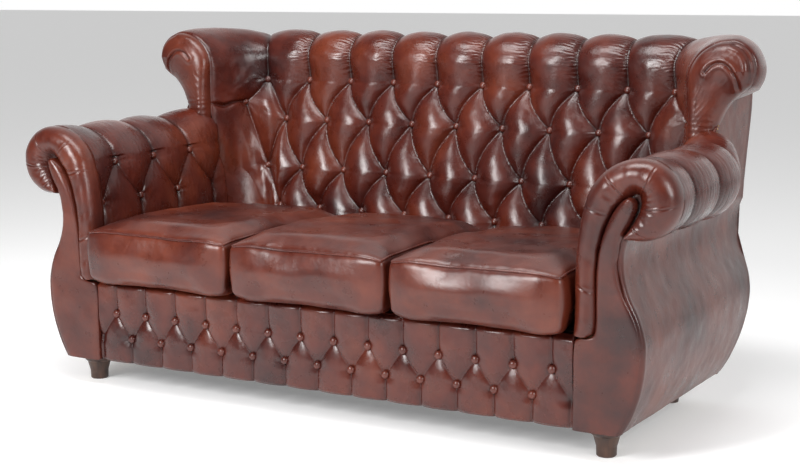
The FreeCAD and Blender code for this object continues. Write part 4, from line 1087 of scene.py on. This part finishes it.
def outside_back():
    heights = np.linspace(BASE_Z, 0.845, 150)[None, :]
    across = np.linspace(-1, 1, 300)[:, None]
    half = edge_x(heights) + PANEL_GAP - 0.001
    x = across * half
    y = rear_y(heights) + np.zeros_like(x)
    edge = np.minimum((1 - np.abs(across)) * half, (heights - BASE_Z) + np.zeros_like(x))
    # Painted shade towards the panel's edges.
    dip, share = hem(edge, 0.006, 0.012, 0.016)
    y = y - dip + uneven("outside_back", (x, heights), (x, heights))
    points = np.stack([x, y, heights + np.zeros_like(x)], axis=-1)
    points, share = closed_sheet(points, share, (0.0, -0.008, 0.0))
    grid_piece("outside_back_leather", points, share, SMOOTH, "outside_back")


NAIL_RADIUS = 0.0036
NAIL_COUNT = 28
# Share of a nail head's radius, and how far it stands proud of the leather there
NAIL_PROFILE = ((0.0, 0.0024), (0.5, 0.0020), (0.85, 0.0010), (1.0, -0.0004), (0.9, -0.0014), (0.0, -0.0016))


def nail_row(side, name):
    """Small domed nail heads along the top edge of the outside wing panel."""
    y = np.linspace(0.168, 0.40, 200)
    run = resample(pairs(y, panel_top(y) - 0.006), NAIL_COUNT)
    vertices, faces = [], []
    turns = np.linspace(0, 2 * math.pi, 10, endpoint=False)
    for place_y, height in run:
        x = float(edge_x(np.array([height]))[0]) + PANEL_GAP + 0.0008
        start = len(vertices)
        for reach, lift in NAIL_PROFILE:
            radius = NAIL_RADIUS * max(reach, 0.02)
            for turn in turns:
                place = (place_y + radius * math.cos(turn), height + radius * math.sin(turn))
                vertices.append((side * (x + lift), *place))
        faces += grid_faces(len(NAIL_PROFILE), len(turns), offset=start)
    piece("wing_nails_" + name, make_mesh("wing_nails_" + name, vertices, faces), "root", "steel", NAIL)


def corner_cap(side, name):
    """Leather drawn from under the turning roll to the square rear corner of the outside panels."""
    count = 90
    turns = np.linspace(math.pi / 2, 0.0, count)
    distance = CORNER_START + turns * CORNER_RADIUS
    inner = plan_points(distance, np.full(count, 0.045), np.full(count, 0.885))
    side_x = float(edge_x(np.array([0.86]))[0]) + PANEL_GAP - 0.001
    rear = float(rear_y(np.array([0.85]))[0]) - 0.001
    route = rounded([(side_x, 0.30, 0.864), (side_x, rear - 0.03, 0.864), (side_x, rear, 0.858),
                     (side_x - 0.03, rear, 0.85), (0.60, rear, 0.842)], 400, passes=2)
    stops = 0.5 - 0.5 * np.cos(np.pi * np.linspace(0, 1, count))
    stops = 0.6 * stops + 0.4 * np.linspace(0, 1, count)
    outer = line_at(stops, share_along(route), route)
    across = np.linspace(0, 1, 26)
    points = outer[:, None, :] + (inner - outer)[:, None, :] * across[None, :, None]
    arch = np.sin(np.pi * across) * np.ones((count, 1))
    points[..., 2] += 0.008 * arch + 0.0012 * lumps(points[..., 0], points[..., 1], 0.04, 95)
    # Painted shade: darker towards both long edges of the cap.
    points, share = closed_sheet(points, 0.4 + 0.6 * arch, (0.0, 0.0, -0.02))
    grid_piece("corner_cap_" + name, points * np.array([side, 1.0, 1.0]), share, SMOOTH)


for sign, word in SIDES:
    outside_panel(sign, word)
    nail_row(sign, word)
    corner_cap(sign, word)
outside_back()


# Front border with two rows of buttons and straight pleats

BORDER_TOP = high("front_border").z
BORDER_BUTTONS = [(i - 6.5, 0) for i in range(14)] + [(j - 6.0, 1) for j in range(13)]


def front_border():
    row_pitch = BORDER_HIGH - BORDER_LOW
    x = np.linspace(-SEAT_HALF + 0.001, SEAT_HALF - 0.001, 520)[:, None]
    heights = np.linspace(BASE_Z, BORDER_TOP, 100)[None, :]
    row = (BORDER_HIGH - heights) / row_pitch
    column = x / BORDER_PITCH
    share = tufted(column, row, 1, edge=0.38, power=0.36, flute=0.3)
    detail = button_creases(column, row, BORDER_BUTTONS, BORDER_PITCH, row_pitch, 101) * 0.2
    detail += 0.0014 * pleat_lip(column, row, 1, BORDER_PITCH)
    detail += uneven("border", (x, heights), (x, heights))
    rim = smooth((BORDER_TOP - heights) / 0.02)
    hem = smooth((heights - BASE_Z) / 0.008)
    depth = BORDER_TUFT * (1 - share) - detail + 0.016 * (1 - rim) ** 2 + 0.006 * (1 - hem)
    y = FACING_Y + 0.002 + depth
    points = np.stack([x + np.zeros_like(y), y, heights + np.zeros_like(y)], axis=-1)
    rear = points[:, [-1, 0]].copy()
    rear[..., 1] = FRAME_Y - 0.002
    points = np.concatenate([points, rear], axis=1)
    share = np.concatenate([share * np.ones_like(y), np.ones((len(x), 2))], axis=1)
    # The height share is also the fold value, so the valleys between pleats get painted shade.
    item = grid_piece("front_border_leather", points, share, TUFTED, "front_border")


front_border()


# Covered buttons

# Share of a button's radius, and height over its rim there
BUTTON_PROFILE = (
    (0.0, 0.0072), (0.25, 0.0070), (0.5, 0.0062), (0.72, 0.0048), (0.88, 0.0028), (0.98, 0.0004),
    (1.0, -0.0016), (0.92, -0.0034), (0.6, -0.005), (0.0, -0.0056),
)


def button_group(name, spots, node):
    """Domed buttons in one piece, each given by its point, direction, lift and radius."""
    sides = 20
    turns = np.linspace(0, 2 * math.pi, sides, endpoint=False)
    vertices, faces, folds = [], [], []
    for number, (centre, outward, lift, radius) in enumerate(spots):
        outward = Vector(outward).normalized()
        turn = outward.to_track_quat("Z", "X")
        base = Vector(centre) + outward * lift
        start = len(vertices)
        rng = np.random.default_rng(200 + number)
        tilt = Vector((*rng.uniform(-0.05, 0.05, 2), 1.0)).to_track_quat("Z", "X")
        for share, height in BUTTON_PROFILE:
            for angle in turns:
                ripple = 1 + 0.012 * math.sin(9 * angle + number)
                flat = Vector((share * radius * ripple * math.cos(angle),
                               share * radius * ripple * math.sin(angle), height * radius / BUTTON_RADIUS))
                vertices.append(base + turn @ (tilt @ flat))
                # Painted shade on the underside of each button's rim.
                folds.append(0.25 + 0.75 * float(smooth((height + 0.002) / 0.006)))
        faces += grid_faces(len(BUTTON_PROFILE), sides, caps=False, offset=start)
    mesh = make_mesh(name, vertices, faces, folds, weld=True)
    piece(name, mesh, "root", "button_leather", BUTTON, node)


def back_button_spots():
    spots = []
    for column, row in BACK_BUTTONS:
        distance = column * BACK_PITCH
        turn = turn_at(distance)
        rake = rake_at(turn)
        up = back_rows(column)[row]
        centre = plan_points(np.array(distance), np.array(rake * (up - ROW_ONE)), np.array(up))
        outward = (-math.copysign(math.sin(turn), distance), -math.cos(turn), rake)
        spots.append((centre, outward, 0.0075, BUTTON_RADIUS))
    return spots


def arm_button_spots():
    spots = []
    for column, row in ARM_BUTTONS:
        up = (ARM_ROW_HIGH, ARM_ROW_LOW)[row]
        y = FACING_Y + ARM_FIRST + (column - 0.5) * ARM_PITCH
        x = float(inner_face(np.array(up))) + ARM_TUFT
        for sign, _ in SIDES:
            spots.append(((sign * x, y, up), (-sign, 0.0, 0.15), 0.0065, BUTTON_RADIUS))
    return spots


def border_button_spots():
    spots = []
    for column, row in BORDER_BUTTONS:
        up = (BORDER_HIGH, BORDER_LOW)[row]
        centre = (column * BORDER_PITCH, FACING_Y + 0.002 + BORDER_TUFT, up)
        spots.append((centre, (0.0, -1.0, 0.0), 0.0085, BUTTON_RADIUS * 1.06))
    return spots


button_group("back_button_covers", back_button_spots(), "back_buttons")
button_group("arm_button_covers", arm_button_spots(), "arm_buttons")
button_group("border_button_covers", border_button_spots(), "border_buttons")


# Seat cushions

CUSHION_STEPS = (56, 84, 20)
EDGE_ROUND = 0.018
BOX_HALF_HEIGHT = 0.0765
CROWN = 0.030
CROWN_LOSS = 0.007  # taken off the crown after the swelling
REAR_FALL = 0.022
LATE_FALL = 0.026  # further fall of the top towards the back after the swelling
WELT_RADIUS = 0.0034
SWELL_CAP = 0.022
SWELL_FRAMES = 20
AVERAGING_ROUNDS = 40
CLOTH = {
    "quality": 6, "mass": 0.4, "tension_stiffness": 40, "compression_stiffness": 40,
    "bending_stiffness": 12, "use_pressure": True, "uniform_pressure_force": 4,
}


def box_shell(steps):
    """Vertices between -1 and 1 and faces of a cube divided into even steps."""
    work = bmesh.new()
    numbers = {}
    counts = [step + 1 for step in steps]

    def vertex(key):
        if key not in numbers:
            place = [2 * index / step - 1 for index, step in zip(key, steps)]
            numbers[key] = work.verts.new(place)
        return numbers[key]

    for axis in range(3):
        first, second = [other for other in range(3) if other != axis]
        for end in (0, steps[axis]):
            for i in range(counts[first] - 1):
                for j in range(counts[second] - 1):
                    corners = []
                    for di, dj in ((0, 0), (1, 0), (1, 1), (0, 1)):
                        key = [0, 0, 0]
                        key[axis] = end
                        key[first] = i + di
                        key[second] = j + dj
                        corners.append(vertex(tuple(key)))
                    work.faces.new(corners)
    bmesh.ops.recalc_face_normals(work, faces=work.faces)
    mesh = bpy.data.meshes.new("shell")
    work.to_mesh(mesh)
    work.free()
    return mesh


def crown_share(unit):
    """How much a cushion's crown lifts each point, 1 in the middle of its top."""
    a, b, c = unit[:, 0], unit[:, 1], unit[:, 2]
    return (1 - np.abs(a) ** 3) * (1 - np.abs(b) ** 4) * smooth((c + 1) / 2)


def cushion_form(unit, lowest, highest):
    """Map a cube's points to a crowned cushion with round edges and drawn-in corners."""
    centre = (lowest + highest) / 2
    half = (highest - lowest) / 2
    half[2] = BOX_HALF_HEIGHT
    centre[2] = lowest[2] + half[2]
    inner = half - EDGE_ROUND
    points = unit * half
    core = np.clip(points, -inner, inner)
    away = points - core
    size = np.linalg.norm(away, axis=1)
    size[size == 0] = 1
    edge = np.max(np.abs(away), axis=1)
    points = core + away / size[:, None] * edge[:, None]
    a, b, c = unit[:, 0], unit[:, 1], unit[:, 2]
    points[:, 2] += CROWN * crown_share(unit)
    points[:, 2] -= REAR_FALL * smooth((b - 0.5) / 0.5) * smooth((c + 1) / 2)
    points[:, 1] -= 0.010 * (1 - a ** 4) * (1 - c ** 2) * smooth(-b * 4 - 2.9)
    points[:, 0] += 0.004 * np.sign(a) * (1 - c ** 2) * smooth((np.abs(a) - 0.8) / 0.2)
    draw = smooth((np.abs(a) - 0.72) / 0.28) * smooth((np.abs(b) - 0.8) / 0.2)
    points[:, 1] -= np.sign(b) * 0.006 * draw
    points[:, 2] -= 0.005 * draw * c
    return points + centre


def spread_out(mesh, values, rounds):
    """Average values over neighbouring points of a mesh, so that only broad changes are left."""
    edges = np.array([edge.vertices[:] for edge in mesh.edges])
    count = np.bincount(edges.ravel(), minlength=len(values))[:, None]
    for _ in range(rounds):
        total = np.zeros_like(values)
        np.add.at(total, edges[:, 0], values[edges[:, 1]])
        np.add.at(total, edges[:, 1], values[edges[:, 0]])
        values = 0.5 * values + 0.5 * total / count
    return values


def swell(mesh, bounds):
    """Let a closed leather case swell round its stuffing as cloth, and return where its points end."""
    start = np.array([vertex.co for vertex in mesh.vertices])
    item = put("swelling", mesh)
    cloth = item.modifiers.new("swell", "CLOTH")
    for setting, value in CLOTH.items():
        setattr(cloth.settings, setting, value)
    cloth.settings.effector_weights.gravity = 0
    cloth.collision_settings.use_collision = False
    cloth.point_cache.frame_start = 1
    cloth.point_cache.frame_end = SWELL_FRAMES
    for number in range(1, SWELL_FRAMES + 1):
        bpy.context.scene.frame_set(number)
    swollen = item.evaluated_get(bpy.context.evaluated_depsgraph_get()).to_mesh()
    end = np.array([vertex.co for vertex in swollen.vertices])
    bpy.context.scene.frame_set(1)
    bpy.data.objects.remove(item)
    move = spread_out(mesh, end - start, AVERAGING_ROUNDS)
    length = np.linalg.norm(move, axis=1)
    held = start + move * (np.minimum(length, SWELL_CAP) / np.maximum(length, 1e-9))[:, None]
    return np.clip(held, bounds[0], bounds[1])


def cushion_points(unit):
    """One seat cushion about the middle of the seat: a crowned case, swollen by its stuffing."""
    lowest = np.array(low("cushion_cover_middle")) + [0.0025, 0.004, 0.0]
    highest = np.array(high("cushion_cover_middle")) - [0.0025, 0.0, 0.0]
    small_low = lowest + [0.002, 0.008, 0.001]
    small_high = highest - [0.002, 0.003, 0.0]
    mesh = box_shell(CUSHION_STEPS)
    points = cushion_form(unit, small_low, small_high)
    mesh.vertices.foreach_set("co", points.ravel())
    mesh.update()
    return swell(mesh, (lowest, highest + [0.0, 0.0, 0.006]))


def cushion(number, name, unit, base):
    """Leather case and welt of one seat cushion from the shared form, with dents and wrinkles of its own."""
    offset = np.array(low("cushion_cover_" + name)) - np.array(low("cushion_cover_middle"))
    offset[1:] = 0
    mesh = box_shell(CUSHION_STEPS)
    a, b, c = unit[:, 0], unit[:, 1], unit[:, 2]
    points = base.copy()
    if number == 0:
        turned = {tuple(key): index for index, key in enumerate(np.round(unit, 4))}
        other = [turned[(-x + 0.0, y, z)] for x, y, z in np.round(unit, 4)]
        points = mirror_x(base[other])
    points = points + offset
    inside = (1 - a ** 8) * (1 - b ** 8)
    place = (points[:, 0] + number, points[:, 1])
    points[:, 2] += uneven("cushion", place, place) * inside * (c > 0.99)
    points[:, 2] -= CROWN_LOSS * crown_share(unit) + LATE_FALL * smooth((b + 0.3) / 1.3) * smooth((c + 1) / 2)
    front = (b < -0.99) * (1 - a ** 8) * (1 - c ** 4)
    points[:, 1] += 0.0012 * lumps(points[:, 0] + number, points[:, 2], 0.08, 113) * front
    gather = np.sin(points[:, 0] * 520 + 4 * lumps(points[:, 0], points[:, 1] + number, 0.05, 114))
    near_top = bell(1 - c, 0.22) * (b < -0.99) + bell(1 + b, 0.06) * (c > 0.99)
    points += (0.0007 * gather * near_top * (1 - a ** 8))[:, None] * np.array([0.0, -0.5, 0.5])
    mesh.vertices.foreach_set("co", points.ravel())
    # Painted shade over the cushion's left and right faces, which stand against the next cushion or an arm.
    side_face_shade = smooth((np.abs(a) - 0.99) / 0.01)
    set_fold_shade(mesh, 1 - 0.5 * side_face_shade)
    shade_smooth(mesh)
    item = piece("seat_cushion_leather_" + name, mesh, "seat_cushion_" + name, "leather", SMOOTH,
                 "cushion_cover_" + name, "cushion_core_" + name)
    finer = item.modifiers.new("finer", "SUBSURF")
    finer.levels = finer.render_levels = 1
    ring = (c > 0.999) & ((np.abs(a) > 0.999) | (np.abs(b) > 0.999))
    order = np.argsort(np.arctan2(b[ring], a[ring]))
    path = points[ring][order]
    for _ in range(3):
        path = (np.roll(path, 1, axis=0) + path * 2 + np.roll(path, -1, axis=0)) / 4
    centre = path.mean(axis=0)
    path = path + (path - centre) * np.array([0.001, 0.002, 0.0]) + [0.0, 0.0, 0.0006]
    mesh = ring_tube("cushion_welt_" + name, path, WELT_RADIUS)
    piece("cushion_welt_" + name, mesh, "seat_cushion_" + name, "leather", BUTTON)


def make_cushions():
    unit = np.array([vertex.co for vertex in box_shell(CUSHION_STEPS).vertices])
    base = cushion_points(unit)
    for number, name in enumerate(("left", "middle", "right")):
        cushion(number, name, unit, base)


make_cushions()


# Floor, light and background

FLOOR_HALF = 40.0
FLOOR_GLOW = 0.22
# Name, place, target, size and power of each soft light
LIGHTS = (
    ("key", (-0.9, -3.9, 2.3), (0.0, 0.1, 0.6), (1.0, 1.6), 175.0),
    ("side", (3.9, -1.9, 2.0), (0.5, 0.0, 0.6), (0.9, 1.6), 85.0),
    ("top", (0.1, -0.8, 3.4), (0.0, 0.1, 0.6), (2.6, 1.0), 95.0),
)


def set_stage():
    mesh = bpy.data.meshes.new("floor")
    corners = [(x * FLOOR_HALF, y * FLOOR_HALF, 0.0) for x, y in ((-1, -1), (1, -1), (1, 1), (-1, 1))]
    mesh.from_pydata(corners, [], [(0, 1, 2, 3)])
    floor = put("floor", mesh)
    material, _, shader = new_material("floor")
    shader.inputs["Base Color"].default_value = (0.86, 0.86, 0.86, 1.0)
    shader.inputs["Roughness"].default_value = 0.9
    shader.inputs["Specular IOR Level"].default_value = 0.1
    shader.inputs["Emission Color"].default_value = (1.0, 1.0, 1.0, 1.0)
    shader.inputs["Emission Strength"].default_value = FLOOR_GLOW
    mesh.materials.append(material)


def area_light(name, place, target, size, power):
    data = bpy.data.lights.new(name, "AREA")
    data.shape = "RECTANGLE"
    data.size, data.size_y = size
    data.energy = power
    lamp = put(name, data)
    lamp.location = place
    lamp.rotation_euler = (Vector(target) - Vector(place)).to_track_quat("-Z", "Y").to_euler()


def set_light():
    """Soft lights, and a world that is darker on the side of the sofa's front."""
    for light in LIGHTS:
        area_light(*light)
    world = bpy.data.worlds.new("studio")
    world.use_nodes = True
    tree = world.node_tree
    where = add(tree, "ShaderNodeTexCoord").outputs["Generated"]
    split = add(tree, "ShaderNodeSeparateXYZ")
    tree.links.new(where, split.inputs["Vector"])
    strength = level(tree, split.outputs["Y"], 0.0, 0.6, 0.15, 1.0)
    tree.links.new(strength, tree.nodes["Background"].inputs["Strength"])
    tree.nodes["Background"].inputs["Color"].default_value = (1.0, 1.0, 1.0, 1.0)
    bpy.context.scene.world = world
    bpy.context.scene.view_settings.view_transform = "Standard"


set_stage()
set_light()
